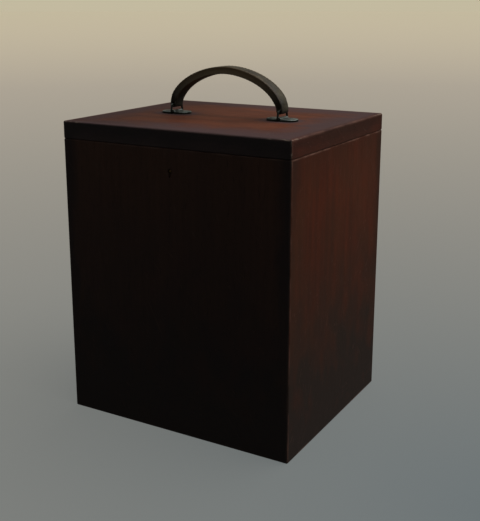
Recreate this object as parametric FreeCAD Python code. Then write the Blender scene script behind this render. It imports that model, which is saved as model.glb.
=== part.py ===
"""Wooden microscope case with a hinged lid, a lock let into the front board and a leather carrying handle.

Frame: the origin is the centre of the underside, +Z is up, X runs along the wide front, and the front
faces -Y. All lengths are millimetres.
"""
import FreeCAD, Part
import math
import os

V = FreeCAD.Vector

# Angles of the turns, and how far from level an edge may lie and still count as level
quarter_turn_degrees = 90.0
half_turn_degrees = 180.0
level_slack = 0.05
parallel_share = 0.999

# Case and lid
case_width = 290.0
case_depth = 245.0
case_height = 350.0
lid_height = 20.0
seam_gap = 0.3
wall = 12.0
arris_radius = 2.0
seam_chamfer = 0.8
foot_chamfer = 1.0
rebate_lip = 5.0
panel_thickness = 8.0
bottom_thickness = 9.0
overrun = 5.0

# Strips inside the two side walls that centre the lid
strip_thickness = 3.0
strip_height = 22.0
strip_rise = 5.0
strip_clearance = 0.4
strip_lead = 0.8
strip_end_gap = 2.0

# Slotted countersunk wood screws
screw_play = 0.05
screw_slot_width_share = 0.3
screw_slot_depth_share = 0.45
screw_point_share = 0.25
screw_sides = 12
bottom_screw_head_radius = 2.8
bottom_screw_core_radius = 1.3
bottom_screw_length = 22.0
hinge_screw_head_radius = 2.4
hinge_screw_core_radius = 1.1
hinge_screw_length = 9.0
lock_screw_head_radius = 2.3
lock_screw_core_radius = 1.0
lock_screw_length = 9.0
plate_screw_head_radius = 2.6
plate_screw_core_radius = 1.2
plate_screw_length = 9.5
bottom_screw_inset = 8.6
bottom_screw_shares = (-0.32, 0.32)

# Stop hinges: knuckles outside the back, leaves let into the two edges, tails that meet when open
hinge_width = 50.0
hinge_end_distance = 28.0
leaf_thickness = 1.8
leaf_depth = 10.5
knuckle_radius = 3.0
knuckle_standoff = 0.3
knuckle_gap = 0.3
knuckle_relief = 0.4
knuckle_count = 3
pin_radius = 1.5
pin_clearance = 0.05
pin_head_length = 0.8
tail_reach = 7.6
tail_thickness = 1.6
lid_opening_degrees = 95.0
stop_play_degrees = 2.0
hinge_screw_shares = (-0.34, 0.0, 0.34)

# Box lock let into the front board from inside
lock_width = 60.0
lock_drop = 34.0
lock_depth = 8.0
lock_wall = 1.2
selvedge_length = 76.0
selvedge_thickness = 2.0
link_plate_thickness = 1.8
lock_screw_end_distance = 4.0
loop_offset = 14.0
loop_thickness = 2.4
loop_width = 4.4
loop_drop = 9.0
loop_clearance = 0.6
eye_width = 2.8
eye_height = 3.6
eye_bottom = 1.6
bolt_thickness = 2.0
bolt_height = 9.0
bolt_travel = 6.0
bolt_tail = 0.3
finger_length = 6.6
finger_height = 2.4
post_width = 3.0
guide_clearance = 0.3
guide_cheek = 4.0
guide_length = 18.5
keyhole_drop = 24.7
keyhole_radius = 2.6
keyhole_slot_width = 2.2
keyhole_slot_drop = 7.0
key_pin_radius = 1.2
key_pin_setback = 1.0
talon_radius = 3.6

# Carrying handle: oblong plates, wire rings and a moulded leather grip
ring_spacing = 143.0
plate_length = 38.0
plate_width = 20.0
plate_thickness = 2.6
plate_end_flat = 0.6
plate_edge_chamfer = 0.6
plate_screw_distance = 13.2
wire_radius = 1.2
wire_sides = 8
ring_clearance = 0.3
bridge_wall = 1.5
ring_foot_width = 24.8
ring_head_width = 20.4
ring_height = 10.0
ring_corner_radius = 2.0
ring_bend_steps = 3
grip_rise = 42.7
grip_bow_share = 1.1
grip_swell_share = 0.11
grip_eye_radius = 3.9
grip_eye_clearance = 0.3
grip_middle_width = 19.6
grip_end_width = 15.2
grip_middle_thickness = 9.2
grip_end_thickness = 7.4
grip_edge_radius = 2.6
grip_edge_steps = 2
grip_sections = 15

# Fittings inside: rack for small parts at the left wall, guides for the foot on the floor
rack_width = 46.0
rack_thickness = 12.0
rack_drop = 62.7
rack_hole_radius = 13.0
rack_hole_count = 4
rack_end_gap = 0.3
rack_edge_radius = 3.0
batten_size = 12.0
foot_left_gap = 76.0
foot_right_gap = 32.0
foot_front_gap = 10.0
foot_back_gap = 27.0
guide_width = 14.0
guide_height = 16.0
guide_chamfer = 4.0

# Places worked out from the sizes above
half_width = case_width / 2
half_depth = case_depth / 2
lid_bottom = case_height - lid_height
case_top = lid_bottom - seam_gap
inner_x = half_width - wall
inner_y = half_depth - wall
hinge_axis_y = half_depth + knuckle_standoff + knuckle_radius
hinge_axis_z = (case_top + lid_bottom) / 2
hinge_x = half_width - hinge_end_distance - hinge_width / 2
lock_y = -inner_y - lock_depth / 2
bar_level = case_height + wire_radius + ring_clearance
eye_level = bar_level + ring_height
rack_level = case_top - rack_drop - rack_thickness

# Head radius, core radius and length of each kind of screw
bottom_screw = (bottom_screw_head_radius, bottom_screw_core_radius, bottom_screw_length)
hinge_screw = (hinge_screw_head_radius, hinge_screw_core_radius, hinge_screw_length)
lock_screw = (lock_screw_head_radius, lock_screw_core_radius, lock_screw_length)
plate_screw = (plate_screw_head_radius, plate_screw_core_radius, plate_screw_length)

# The two corners, as signs along X and Y, between which each side runs
SIDES = {
    "front": ((-1, -1), (1, -1)),
    "right_side": ((1, -1), (1, 1)),
    "back": ((1, 1), (-1, 1)),
    "left_side": ((-1, 1), (-1, -1)),
}
parts = {}


def block(x_low, x_high, y_low, y_high, z_low, z_high):
    """Box between two levels along each axis."""
    return Part.makeBox(x_high - x_low, y_high - y_low, z_high - z_low, V(x_low, y_low, z_low))


def prism(points, sweep):
    """Solid swept from a closed flat outline."""
    return Part.Face(Part.makePolygon([*points, points[0]])).extrude(sweep)


def joined(shapes):
    """One clean solid from shapes that overlap or share faces."""
    whole = shapes[0]
    for shape in shapes[1:]:
        whole = whole.fuse(shape)
    return whole.removeSplitter()


def edges_along(shape, direction, keep):
    """Straight edges that run along a direction and whose middle passes a test."""
    chosen = []
    for edge in shape.Edges:
        start, end = edge.Vertexes[0].Point, edge.Vertexes[-1].Point
        run, middle = end - start, (start + end) * (1 / 2)
        parallel = run.Length > 0 and abs(run.normalize().dot(direction)) > parallel_share
        if parallel and keep(middle):
            chosen.append(edge)
    return chosen


def level_edges(shape, level):
    """Edges that lie wholly in one horizontal plane."""
    chosen = []
    for edge in shape.Edges:
        bounds = edge.BoundBox
        if max(abs(bounds.ZMin - level), abs(bounds.ZMax - level)) < level_slack:
            chosen.append(edge)
    return chosen


def level_polygon(radius, level, sides):
    """Regular outline round the Z axis, with its corners on a circle."""
    turns = [2 * math.pi * index / sides for index in range(sides + 1)]
    return Part.makePolygon([V(radius * math.cos(a), radius * math.sin(a), level) for a in turns])


def screw_body(sizes, grow, above):
    """Countersunk screw or its hole, grown all round: head at the origin, point downwards."""
    head, core, length = [size + grow for size in sizes]
    head_depth = head - core
    point = length * screw_point_share
    rings = [(head, 0), (core, -head_depth), (core, point - length)]
    if above > 0:
        rings.insert(0, (head, above))
    outlines = [level_polygon(radius, level, screw_sides) for radius, level in rings]
    return Part.makeLoft([*outlines, Part.Vertex(0, 0, -length)], True, True)


def set_at(shape, place, upwards):
    """Shape moved to its place, turned over first if it is driven upwards."""
    if upwards:
        shape.rotate(V(0, 0, 0), V(1, 0, 0), half_turn_degrees)
    shape.translate(place)
    return shape


def screws(sizes, places, upwards=False):
    """Slotted screws, one separate solid at each place."""
    made = []
    for place in places:
        solid = screw_body(sizes, 0, 0)
        half_slot = sizes[0] * screw_slot_width_share / 2
        depth = (sizes[0] - sizes[1]) * screw_slot_depth_share
        slot = block(-overrun, overrun, -half_slot, half_slot, -depth, overrun)
        made.append(set_at(solid.cut(slot), place, upwards))
    return made


def screw_holes(sizes, places, upwards=False):
    """Drilled and countersunk holes for those screws, with a little play all round."""
    return [set_at(screw_body(sizes, screw_play, overrun), place, upwards) for place in places]


def cut_all(shape, tools):
    """Shape with every tool taken away."""
    for tool in tools:
        shape = shape.cut(tool)
    return shape


def mitred_frame_piece(side, low, high):
    """One of four pieces that meet at mitred corners, between two levels."""
    (ax, ay), (bx, by) = SIDES[side]
    outline = [
        V(ax * half_width, ay * half_depth, low),
        V(bx * half_width, by * half_depth, low),
        V(bx * inner_x, by * inner_y, low),
        V(ax * inner_x, ay * inner_y, low),
    ]
    return prism(outline, V(0, 0, high - low))


def case_envelope():
    """Outer form of the case: eased upright corners, a chamfered seam edge and a chamfered foot."""
    body = block(-half_width, half_width, -half_depth, half_depth, 0, case_top)
    body = body.makeFillet(arris_radius, edges_along(body, V(0, 0, 1), lambda p: True))
    body = body.makeChamfer(seam_chamfer, level_edges(body, case_top))
    return body.makeChamfer(foot_chamfer, level_edges(body, 0))


def lid_envelope():
    """Outer form of the lid: rounded top and corners, chamfered seam edge."""
    body = block(-half_width, half_width, -half_depth, half_depth, lid_bottom, case_height)
    upright = edges_along(body, V(0, 0, 1), lambda p: True)
    body = body.makeFillet(arris_radius, upright + level_edges(body, case_height))
    return body.makeChamfer(seam_chamfer, level_edges(body, lid_bottom))


def let_in(inset, low, high):
    """Block that fills the plan of the case up to an inset from its outer faces."""
    x, y = half_width - inset, half_depth - inset
    return block(-x, x, -y, y, low, high)


def bottom_screw_places():
    """Places on the underside, over the middle of the boards that the bottom board is screwed to."""
    x, y = half_width - bottom_screw_inset, half_depth - bottom_screw_inset
    places = []
    for share in bottom_screw_shares:
        places += [V(share * case_width, -y, 0), V(share * case_width, y, 0)]
        places += [V(-x, share * case_depth, 0), V(x, share * case_depth, 0)]
    return places


def hinge_screw_places(level):
    """Places on the leaves of both hinges, at the level of their outer faces."""
    y = half_depth - leaf_depth / 2
    places = []
    for side in (-1, 1):
        places += [V(side * hinge_x + share * hinge_width, y, level) for share in hinge_screw_shares]
    return places


def lock_screw_places(level):
    """Places at the two ends of the selvedge or the link plate."""
    x = selvedge_length / 2 - lock_screw_end_distance
    return [V(-x, lock_y, level), V(x, lock_y, level)]


def leaf_recess(side, low, high):
    """Recess in a back edge that one hinge leaf fills."""
    start = side * hinge_x - hinge_width / 2
    return block(start, start + hinge_width, half_depth - leaf_depth, half_depth + overrun, low, high)


def keyhole():
    """Round hole with a slot below it, right through the front board and the lock's front plate."""
    level = case_top - keyhole_drop
    start = -half_depth - overrun
    length = wall - lock_depth + lock_wall + 2 * overrun
    hole = Part.makeCylinder(keyhole_radius, length, V(0, start, level), V(0, 1, 0))
    half_slot = keyhole_slot_width / 2
    slot = block(-half_slot, half_slot, start, start + length, level - keyhole_slot_drop, level)
    return hole.fuse(slot)


def lock_mortise():
    """Pocket for the lock and its selvedge, open to the inside and to the top edge."""
    half_lock, half_selvedge = lock_width / 2, selvedge_length / 2
    y_low, y_high, top = -inner_y - lock_depth, -inner_y + overrun, case_top + overrun
    pocket = block(-half_lock, half_lock, y_low, y_high, case_top - lock_drop, top)
    ledge = block(-half_selvedge, half_selvedge, y_low, y_high, case_top - selvedge_thickness, top)
    return pocket.fuse(ledge)


def make_carcass():
    """Four mitred boards and the bottom board let into them."""
    envelope = case_envelope()
    bottom = let_in(rebate_lip, 0, bottom_thickness)
    holes = screw_holes(bottom_screw, bottom_screw_places(), upwards=True)
    for side in SIDES:
        board = mitred_frame_piece(side, 0, case_top).common(envelope).cut(bottom)
        board = cut_all(board, [hole for hole in holes if hole.BoundBox.intersect(board.BoundBox)])
        if side == "back":
            for hand in (-1, 1):
                board = board.cut(leaf_recess(hand, case_top - leaf_thickness, case_top + overrun))
            board = cut_all(board, screw_holes(hinge_screw, hinge_screw_places(case_top)))
        if side == "front":
            board = board.cut(lock_mortise()).cut(keyhole())
            board = cut_all(board, screw_holes(lock_screw, lock_screw_places(case_top)))
        parts[side + "_board"] = board
    parts["bottom_board"] = cut_all(bottom, holes)
    parts["bottom_screws"] = Part.makeCompound(screws(bottom_screw, bottom_screw_places(), upwards=True))


def make_locating_strips():
    """Strips glued inside the side walls, whose leading edges stand up into the lid."""
    low, high = case_top - strip_height + strip_rise, case_top + strip_rise
    start = -inner_y + strip_end_gap
    for hand, name in ((-1, "left"), (1, "right")):
        outline = [
            V(hand * inner_x, start, low),
            V(hand * inner_x, start, case_top),
            V(hand * (inner_x - strip_clearance), start, case_top),
            V(hand * (inner_x - strip_clearance - strip_lead), start, high),
            V(hand * (inner_x - strip_thickness), start, high),
            V(hand * (inner_x - strip_thickness), start, low),
        ]
        parts["lid_locating_strip_" + name] = prism(outline, V(0, 2 * (inner_y - strip_end_gap), 0))


def make_lid():
    """Four mitred rim pieces with the top panel let in flush."""
    envelope = lid_envelope()
    panel = let_in(rebate_lip, case_height - panel_thickness, case_height)
    for side in SIDES:
        rim = mitred_frame_piece(side, lid_bottom, case_height).common(envelope).cut(panel)
        if side == "back":
            for hand in (-1, 1):
                rim = rim.cut(leaf_recess(hand, lid_bottom - overrun, lid_bottom + leaf_thickness))
            rim = cut_all(rim, screw_holes(hinge_screw, hinge_screw_places(lid_bottom), upwards=True))
        if side == "front":
            half_plate = selvedge_length / 2
            recess = block(-half_plate, half_plate, -inner_y - lock_depth, -inner_y + overrun,
                           lid_bottom - overrun, lid_bottom + link_plate_thickness)
            rim = rim.cut(recess)
            rim = cut_all(rim, screw_holes(lock_screw, lock_screw_places(lid_bottom), upwards=True))
        parts["lid_rim_" + side.replace("_side", "")] = rim
    parts["lid_panel"] = cut_all(panel, screw_holes(plate_screw, plate_screw_places()))


def polar(radius, degrees):
    """Point of the hinge's cross section, at a distance and angle from its axis."""
    angle = math.radians(degrees)
    return V(0, hinge_axis_y + radius * math.cos(angle), hinge_axis_z + radius * math.sin(angle))


def tail(x_low, x_high, inner_radius, up):
    """Part of a stop tail: its face on the axis meets the other leaf's tail when the lid is open."""
    degrees = up * (lid_opening_degrees + stop_play_degrees) / 2
    across = polar(tail_thickness, degrees + up * quarter_turn_degrees) - polar(0, 0)
    near, far = polar(inner_radius, degrees), polar(tail_reach, degrees)
    outline = [point + V(x_low, 0, 0) for point in (near, far, far + across, near + across)]
    return prism(outline, V(x_high - x_low, 0, 0))


def hinge_leaf(hand, up):
    """One leaf with its knuckles and stop tail: up is 1 on the lid and -1 on the case."""
    start = hand * hinge_x - hinge_width / 2
    end = start + hinge_width
    pitch = hinge_width / knuckle_count
    face = lid_bottom if up > 0 else case_top
    low, high = sorted((face, face + up * leaf_thickness))
    plate_edge = hinge_axis_y - knuckle_radius - knuckle_relief
    pieces = [block(start, end, half_depth - leaf_depth, plate_edge, low, high)]
    pieces.append(tail(start, end, knuckle_radius + knuckle_relief, up))
    for index in range(knuckle_count):
        if (index % 2 == 1) == (up > 0):
            x_low = start + index * pitch + (knuckle_gap / 2 if index > 0 else 0)
            x_high = start + (index + 1) * pitch - (knuckle_gap / 2 if index < knuckle_count - 1 else 0)
            axis_point = V(x_low, hinge_axis_y, hinge_axis_z)
            pieces.append(Part.makeCylinder(knuckle_radius, x_high - x_low, axis_point, V(1, 0, 0)))
            pieces.append(block(x_low, x_high, plate_edge, hinge_axis_y, low, high))
            pieces.append(tail(x_low, x_high, (pin_radius + knuckle_radius) / 2, up))
    bore_start = V(start - overrun, hinge_axis_y, hinge_axis_z)
    bore = Part.makeCylinder(pin_radius + pin_clearance, hinge_width + 2 * overrun, bore_start, V(1, 0, 0))
    leaf = joined(pieces).cut(bore)
    places = [p for p in hinge_screw_places(face) if start < p.x < end]
    return cut_all(leaf, screw_holes(hinge_screw, places, upwards=up > 0))


def hinge_pin(hand):
    """Pin through the knuckles, with a thin head at each end."""
    start = hand * hinge_x - hinge_width / 2
    length = hinge_width + 2 * pin_head_length
    at = V(start - pin_head_length, hinge_axis_y, hinge_axis_z)
    shank = Part.makeCylinder(pin_radius, length, at, V(1, 0, 0))
    head_radius = (pin_radius + knuckle_radius) / 2
    heads = [Part.makeCylinder(head_radius, pin_head_length, V(x, at.y, at.z), V(1, 0, 0))
             for x in (at.x, start + hinge_width)]
    return joined([shank, *heads])


def make_hinges():
    """Two stop hinges, their pins and their screws."""
    for hand, name in ((-1, "left"), (1, "right")):
        parts["hinge_case_leaf_" + name] = hinge_leaf(hand, -1)
        parts["hinge_lid_leaf_" + name] = hinge_leaf(hand, 1)
        parts["hinge_pin_" + name] = hinge_pin(hand)
    parts["hinge_case_screws"] = Part.makeCompound(screws(hinge_screw, hinge_screw_places(case_top)))
    lid_screws = screws(hinge_screw, hinge_screw_places(lid_bottom), upwards=True)
    parts["hinge_lid_screws"] = Part.makeCompound(lid_screws)


def bolt_levels():
    """Levels of the bolt: underside, top of its body, underside and top of its fingers."""
    finger_low = lid_bottom - loop_drop + eye_bottom + (eye_height - finger_height) / 2
    body_top = lid_bottom - loop_drop - loop_clearance
    return body_top - bolt_height, body_top, finger_low, finger_low + finger_height


def finger_tip(loop_x):
    """Where a finger of the withdrawn bolt ends, short of its loop."""
    return loop_x - loop_thickness / 2 - loop_clearance


def make_lock_case():
    """Tray-shaped lock case with its selvedge, two guides for the bolt and a keyhole."""
    half_lock, half_selvedge = lock_width / 2, selvedge_length / 2
    outer_y, low = -inner_y - lock_depth, case_top - lock_drop
    under_selvedge = case_top - selvedge_thickness
    cavity_x, cavity_low = half_lock - lock_wall, low + lock_wall
    cavity_y, cap_y = outer_y + lock_wall, -inner_y - lock_wall
    shell = block(-half_lock, half_lock, outer_y, cap_y, low, under_selvedge)
    shell = shell.cut(block(-cavity_x, cavity_x, cavity_y, -inner_y, cavity_low, under_selvedge))
    selvedge = block(-half_selvedge, half_selvedge, outer_y, -inner_y, under_selvedge, case_top)
    pieces = [shell, selvedge]
    bolt_low = bolt_levels()[0]
    half_groove = bolt_thickness / 2 + guide_clearance
    for hand in (-1, 1):
        x_low, x_high = sorted((hand * cavity_x, hand * (cavity_x - guide_length)))
        guide = block(x_low, x_high, cavity_y, cap_y, cavity_low, bolt_low - guide_clearance + guide_cheek)
        groove = block(x_low, x_high, lock_y - half_groove, lock_y + half_groove,
                       bolt_low - guide_clearance, bolt_low + guide_cheek)
        pieces.append(guide.cut(groove))
    body = joined(pieces).cut(keyhole())
    for loop_x in (-loop_offset, loop_offset):
        half_x = loop_thickness / 2 + loop_clearance
        half_y = loop_width / 2 + loop_clearance
        body = body.cut(block(loop_x - half_x, loop_x + half_x, lock_y - half_y, lock_y + half_y,
                              under_selvedge - loop_clearance, case_top + overrun))
    return cut_all(body, screw_holes(lock_screw, lock_screw_places(case_top)))


def make_lock_bolt():
    """Sliding bolt: a flat body with a talon for the key and two fingers that enter the loops."""
    low, top, finger_low, finger_high = bolt_levels()
    y_low, y_high = lock_y - bolt_thickness / 2, lock_y + bolt_thickness / 2
    left_end = finger_tip(-loop_offset) - finger_length - post_width
    right_end = finger_tip(loop_offset) - bolt_tail
    pieces = [block(left_end, right_end, y_low, y_high, low, top)]
    for loop_x in (-loop_offset, loop_offset):
        tip = finger_tip(loop_x)
        post_end = tip - finger_length
        pieces.append(block(post_end - post_width, post_end, y_low, y_high, top, finger_high))
        pieces.append(block(post_end, tip, y_low, y_high, finger_low, finger_high))
    talon_x = -bolt_travel / 2
    talon = Part.makeCylinder(talon_radius, bolt_thickness, V(talon_x, y_low, low), V(0, 1, 0))
    return joined(pieces).cut(talon)


def make_link_plate():
    """Plate under the lid's front rim with two loops that hang down into the lock."""
    half_plate, top = selvedge_length / 2, lid_bottom + link_plate_thickness
    pieces = [block(-half_plate, half_plate, -inner_y - lock_depth, -inner_y, lid_bottom, top)]
    loop_low = lid_bottom - loop_drop
    for loop_x in (-loop_offset, loop_offset):
        x_low, x_high = loop_x - loop_thickness / 2, loop_x + loop_thickness / 2
        loop = block(x_low, x_high, lock_y - loop_width / 2, lock_y + loop_width / 2, loop_low, lid_bottom)
        eye = block(x_low, x_high, lock_y - eye_width / 2, lock_y + eye_width / 2,
                    loop_low + eye_bottom, loop_low + eye_bottom + eye_height)
        pieces.append(loop.cut(eye))
    return cut_all(joined(pieces), screw_holes(lock_screw, lock_screw_places(lid_bottom), upwards=True))


def make_lock():
    """The lock in the front board and the link plate in the lid."""
    parts["lock_case"] = make_lock_case()
    parts["lock_bolt"] = make_lock_bolt()
    half_lock = lock_width / 2
    parts["lock_cap"] = block(-half_lock, half_lock, -inner_y - lock_wall, -inner_y,
                              case_top - lock_drop, case_top - selvedge_thickness)
    pin_front = -half_depth + key_pin_setback
    pin_length = -inner_y - lock_wall - pin_front
    at = V(0, pin_front, case_top - keyhole_drop)
    parts["lock_key_pin"] = Part.makeCylinder(key_pin_radius, pin_length, at, V(0, 1, 0))
    parts["lock_screws"] = Part.makeCompound(screws(lock_screw, lock_screw_places(case_top)))
    parts["link_plate"] = make_link_plate()
    link_screws = screws(lock_screw, lock_screw_places(lid_bottom), upwards=True)
    parts["link_plate_screws"] = Part.makeCompound(link_screws)


def plate_screw_places():
    """Places of the screws on top of both handle plates."""
    level = case_height + plate_thickness
    places = []
    for hand in (-1, 1):
        for side in (-1, 1):
            places.append(V(hand * ring_spacing / 2 + side * plate_screw_distance, 0, level))
    return places


def handle_plate(hand):
    """Oblong plate with a raised bridge, under which the lower bar of the ring turns."""
    x = hand * ring_spacing / 2
    half_length, half_plate = plate_length / 2, plate_width / 2
    top = case_height + plate_thickness
    body = block(x - half_length, x + half_length, -half_plate, half_plate, case_height, top)
    end_radius = half_plate - plate_end_flat / 2
    body = body.makeFillet(end_radius, edges_along(body, V(0, 0, 1), lambda p: True))
    body = body.makeChamfer(plate_edge_chamfer, level_edges(body, top))
    channel_radius = wire_radius + ring_clearance
    start = V(x, -half_plate, bar_level)
    bridge = Part.makeCylinder(channel_radius + bridge_wall, plate_width, start, V(0, 1, 0))
    above_lid = block(x - half_length, x + half_length, -half_plate, half_plate, case_height, top + overrun)
    body = joined([body, bridge.common(above_lid)])
    channel = Part.makeCylinder(channel_radius, plate_width, start, V(0, 1, 0))
    under = case_height - overrun
    slot = block(x - channel_radius, x + channel_radius, -half_plate, half_plate, under, bar_level)
    body = body.cut(channel).cut(slot)
    return cut_all(body, [h for h in screw_holes(plate_screw, plate_screw_places())
                          if h.BoundBox.intersect(body.BoundBox)])


def rounded_path(corners, radius, steps):
    """Closed path through corners in order, each rounded in a few short straight steps."""
    points = []
    for index, corner in enumerate(corners):
        back = (corners[index - 1] - corner).normalize()
        ahead = (corners[(index + 1) % len(corners)] - corner).normalize()
        half_angle = math.acos(back.dot(ahead)) / 2
        centre = corner + (back + ahead).normalize() * (radius / math.sin(half_angle))
        start = corner + back * (radius / math.tan(half_angle)) - centre
        middle = (corner - centre).normalize() * radius
        sweep = math.pi / 2 - half_angle
        across = (middle - start * math.cos(sweep)) * (1 / math.sin(sweep))
        for step in range(steps + 1):
            turn = 2 * sweep * step / steps
            points.append(centre + start * math.cos(turn) + across * math.sin(turn))
    return points


def handle_ring(hand):
    """Ring of round wire, narrower at the top: lower bar under the bridge, upper bar in the grip's eye."""
    x = hand * ring_spacing / 2
    half_foot, half_head = ring_foot_width / 2, ring_head_width / 2
    corners = [
        V(x, half_foot, bar_level),
        V(x, half_head, eye_level),
        V(x, -half_head, eye_level),
        V(x, -half_foot, bar_level),
    ]
    start = V(x, 0, bar_level)
    path = Part.makePolygon([start, *rounded_path(corners, ring_corner_radius, ring_bend_steps), start])
    section = level_polygon(wire_radius, 0, wire_sides)
    section.rotate(V(0, 0, 0), V(1, 0, 0), -quarter_turn_degrees)
    section.translate(start)
    return path.makePipeShell([section], True, False, 1)


def grip_frame(share):
    """Centre of the grip and the direction out of its arch, at a share of the way between its eyes."""
    angle = math.pi * share
    across, up = math.cos(angle), max(math.sin(angle), 0)
    half_span, ease = ring_spacing / 2, 2 - grip_bow_share
    run = half_span * math.copysign(abs(across) ** grip_bow_share, across)
    centre = V(-run, 0, eye_level + grip_rise * up ** grip_bow_share)
    slope = math.copysign(abs(across) ** ease, across)
    out = V(-grip_rise * slope, 0, half_span * up ** ease).normalize()
    return centre, out


def grip_section(share):
    """Rounded outline across the grip, which is full a little way above each eye."""
    centre, out = grip_frame(share)
    near = min(min(share, 1 - share) / grip_swell_share, 1)
    swell = near * near * (3 - 2 * near)
    half_wide = (grip_end_width + (grip_middle_width - grip_end_width) * swell) / 2
    half_thick = (grip_end_thickness + (grip_middle_thickness - grip_end_thickness) * swell) / 2
    points = []
    for quarter in range(4):
        start = quarter * math.pi / 2
        middle = start + math.pi / 4
        across = math.copysign(half_wide - grip_edge_radius, math.cos(middle))
        outwards = math.copysign(half_thick - grip_edge_radius, math.sin(middle))
        for step in range(grip_edge_steps + 1):
            turn = start + step / grip_edge_steps * math.pi / 2
            side = V(0, across + grip_edge_radius * math.cos(turn), 0)
            points.append(centre + side + out * (outwards + grip_edge_radius * math.sin(turn)))
    return Part.makePolygon([*points, points[0]])


def handle_grip():
    """Moulded leather arch, drawn in at both ends, with an eye at each end that holds a ring."""
    turns = [math.pi * index / (grip_sections - 1) for index in range(grip_sections)]
    arch = Part.makeLoft([grip_section((1 - math.cos(turn)) / 2) for turn in turns], True, False)
    pieces = [arch]
    for hand in (-1, 1):
        start = V(hand * ring_spacing / 2, -grip_end_width / 2, eye_level)
        pieces.append(Part.makeCylinder(grip_eye_radius, grip_end_width, start, V(0, 1, 0)))
    grip = joined(pieces)
    for hand in (-1, 1):
        start = V(hand * ring_spacing / 2, -grip_middle_width, eye_level)
        bore = Part.makeCylinder(wire_radius + grip_eye_clearance, 2 * grip_middle_width, start, V(0, 1, 0))
        grip = grip.cut(bore)
    return grip


def make_handle():
    """Handle plates, their screws, the rings and the grip."""
    for hand, name in ((-1, "left"), (1, "right")):
        parts["handle_plate_" + name] = handle_plate(hand)
        parts["handle_ring_" + name] = handle_ring(hand)
    parts["handle_plate_screws"] = Part.makeCompound(screws(plate_screw, plate_screw_places()))
    parts["handle_grip"] = handle_grip()


def make_rack():
    """Bored rack along the left wall, resting on a batten at each end."""
    left, right = -inner_x, -inner_x + rack_width
    half_length = inner_y - rack_end_gap
    rack = block(left, right, -half_length, half_length, rack_level, rack_level + rack_thickness)
    free_edges = edges_along(rack, V(0, 1, 0), lambda p: p.x > (left + right) / 2)
    rack = rack.makeFillet(rack_edge_radius, free_edges)
    pitch = 2 * half_length / rack_hole_count
    for index in range(rack_hole_count):
        at = V((left + right) / 2, -half_length + (index + 1 / 2) * pitch, rack_level)
        rack = rack.cut(Part.makeCylinder(rack_hole_radius, rack_thickness, at, V(0, 0, 1)))
    parts["accessory_rack"] = rack
    for side, name in ((-1, "front"), (1, "back")):
        y_low, y_high = sorted((side * inner_y, side * (inner_y - batten_size)))
        batten = block(left, right, y_low, y_high, rack_level - batten_size, rack_level)
        parts["rack_batten_" + name] = batten


def bevelled_guide(corner_low, corner_high, inward):
    """Guide on the floor, bevelled along the top edge that faces the microscope's foot."""
    size = corner_high - corner_low
    guide = Part.makeBox(size.x, size.y, size.z, corner_low)
    middle = (corner_low + corner_high) * (1 / 2)
    along = V(abs(inward.y), abs(inward.x), 0)

    def on_inner_top(point):
        return point.z > middle.z and (point - middle).dot(inward) > 0

    return guide.makeChamfer(guide_chamfer, edges_along(guide, along, on_inner_top))


def make_foot_guides():
    """Guides left, right and behind, which keep the microscope's foot in its place."""
    low, high = bottom_thickness, bottom_thickness + guide_height
    left, right = foot_left_gap - inner_x, inner_x - foot_right_gap
    front, back = foot_front_gap - inner_y, inner_y - foot_back_gap - guide_width
    inner_left, inner_right = left + guide_width, right - guide_width
    guides = {
        "left": (V(left, front, low), V(inner_left, back, high), V(1, 0, 0)),
        "right": (V(inner_right, front, low), V(right, back, high), V(-1, 0, 0)),
        "back": (V(left, back, low), V(right, back + guide_width, high), V(0, -1, 0)),
    }
    for name, (corner_low, corner_high, inward) in guides.items():
        parts["foot_guide_" + name] = bevelled_guide(corner_low, corner_high, inward)


def main():
    """Builds every piece and writes one file for each."""
    make_carcass()
    make_locating_strips()
    make_lid()
    make_hinges()
    make_lock()
    make_handle()
    make_rack()
    make_foot_guides()
    os.makedirs("parts", exist_ok=True)
    for name, shape in parts.items():
        print(name, len(shape.Solids), round(shape.Volume), shape.isValid())
        shape.exportStep("parts/" + name + ".step")


main()
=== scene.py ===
"""Looks of a wooden microscope case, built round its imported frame.

The boards, fittings and screws are the frame's own pieces and get their finishes here. The leather grip and
its wire rings are modelled here, as a saddler and a wire bender would make them. Lengths are metres, unless a
name ends in mm.
"""
import logging
import math
from dataclasses import dataclass, replace
from enum import Enum
from typing import Callable, Union

import bmesh
import bpy
from mathutils import Matrix, Vector


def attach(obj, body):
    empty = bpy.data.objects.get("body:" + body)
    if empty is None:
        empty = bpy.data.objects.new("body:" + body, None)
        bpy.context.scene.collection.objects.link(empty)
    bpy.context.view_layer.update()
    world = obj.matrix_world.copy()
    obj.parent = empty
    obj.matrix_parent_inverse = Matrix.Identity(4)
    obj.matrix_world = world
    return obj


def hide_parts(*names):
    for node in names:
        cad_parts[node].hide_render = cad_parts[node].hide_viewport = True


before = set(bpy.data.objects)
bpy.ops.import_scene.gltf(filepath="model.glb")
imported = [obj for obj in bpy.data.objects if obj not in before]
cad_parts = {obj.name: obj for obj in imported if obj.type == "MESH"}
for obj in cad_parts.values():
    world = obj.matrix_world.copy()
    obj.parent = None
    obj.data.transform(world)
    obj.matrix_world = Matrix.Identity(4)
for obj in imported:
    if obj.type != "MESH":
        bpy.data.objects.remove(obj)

log = logging.getLogger("microscope_case")
Socket = bpy.types.NodeSocket
# Where a change begins and where it is complete
Span = tuple[float, float]
MM = 0.001
# Corners nearer than this are one corner
MERGE_DISTANCE = 0.00001
# The distance from crest to crest of Blender's wave texture at a scale of 1
WAVE_LENGTH = math.pi / 10
# The least cosine between a face's normal and a direction that it is taken to face
SQUARE = 0.95


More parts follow.
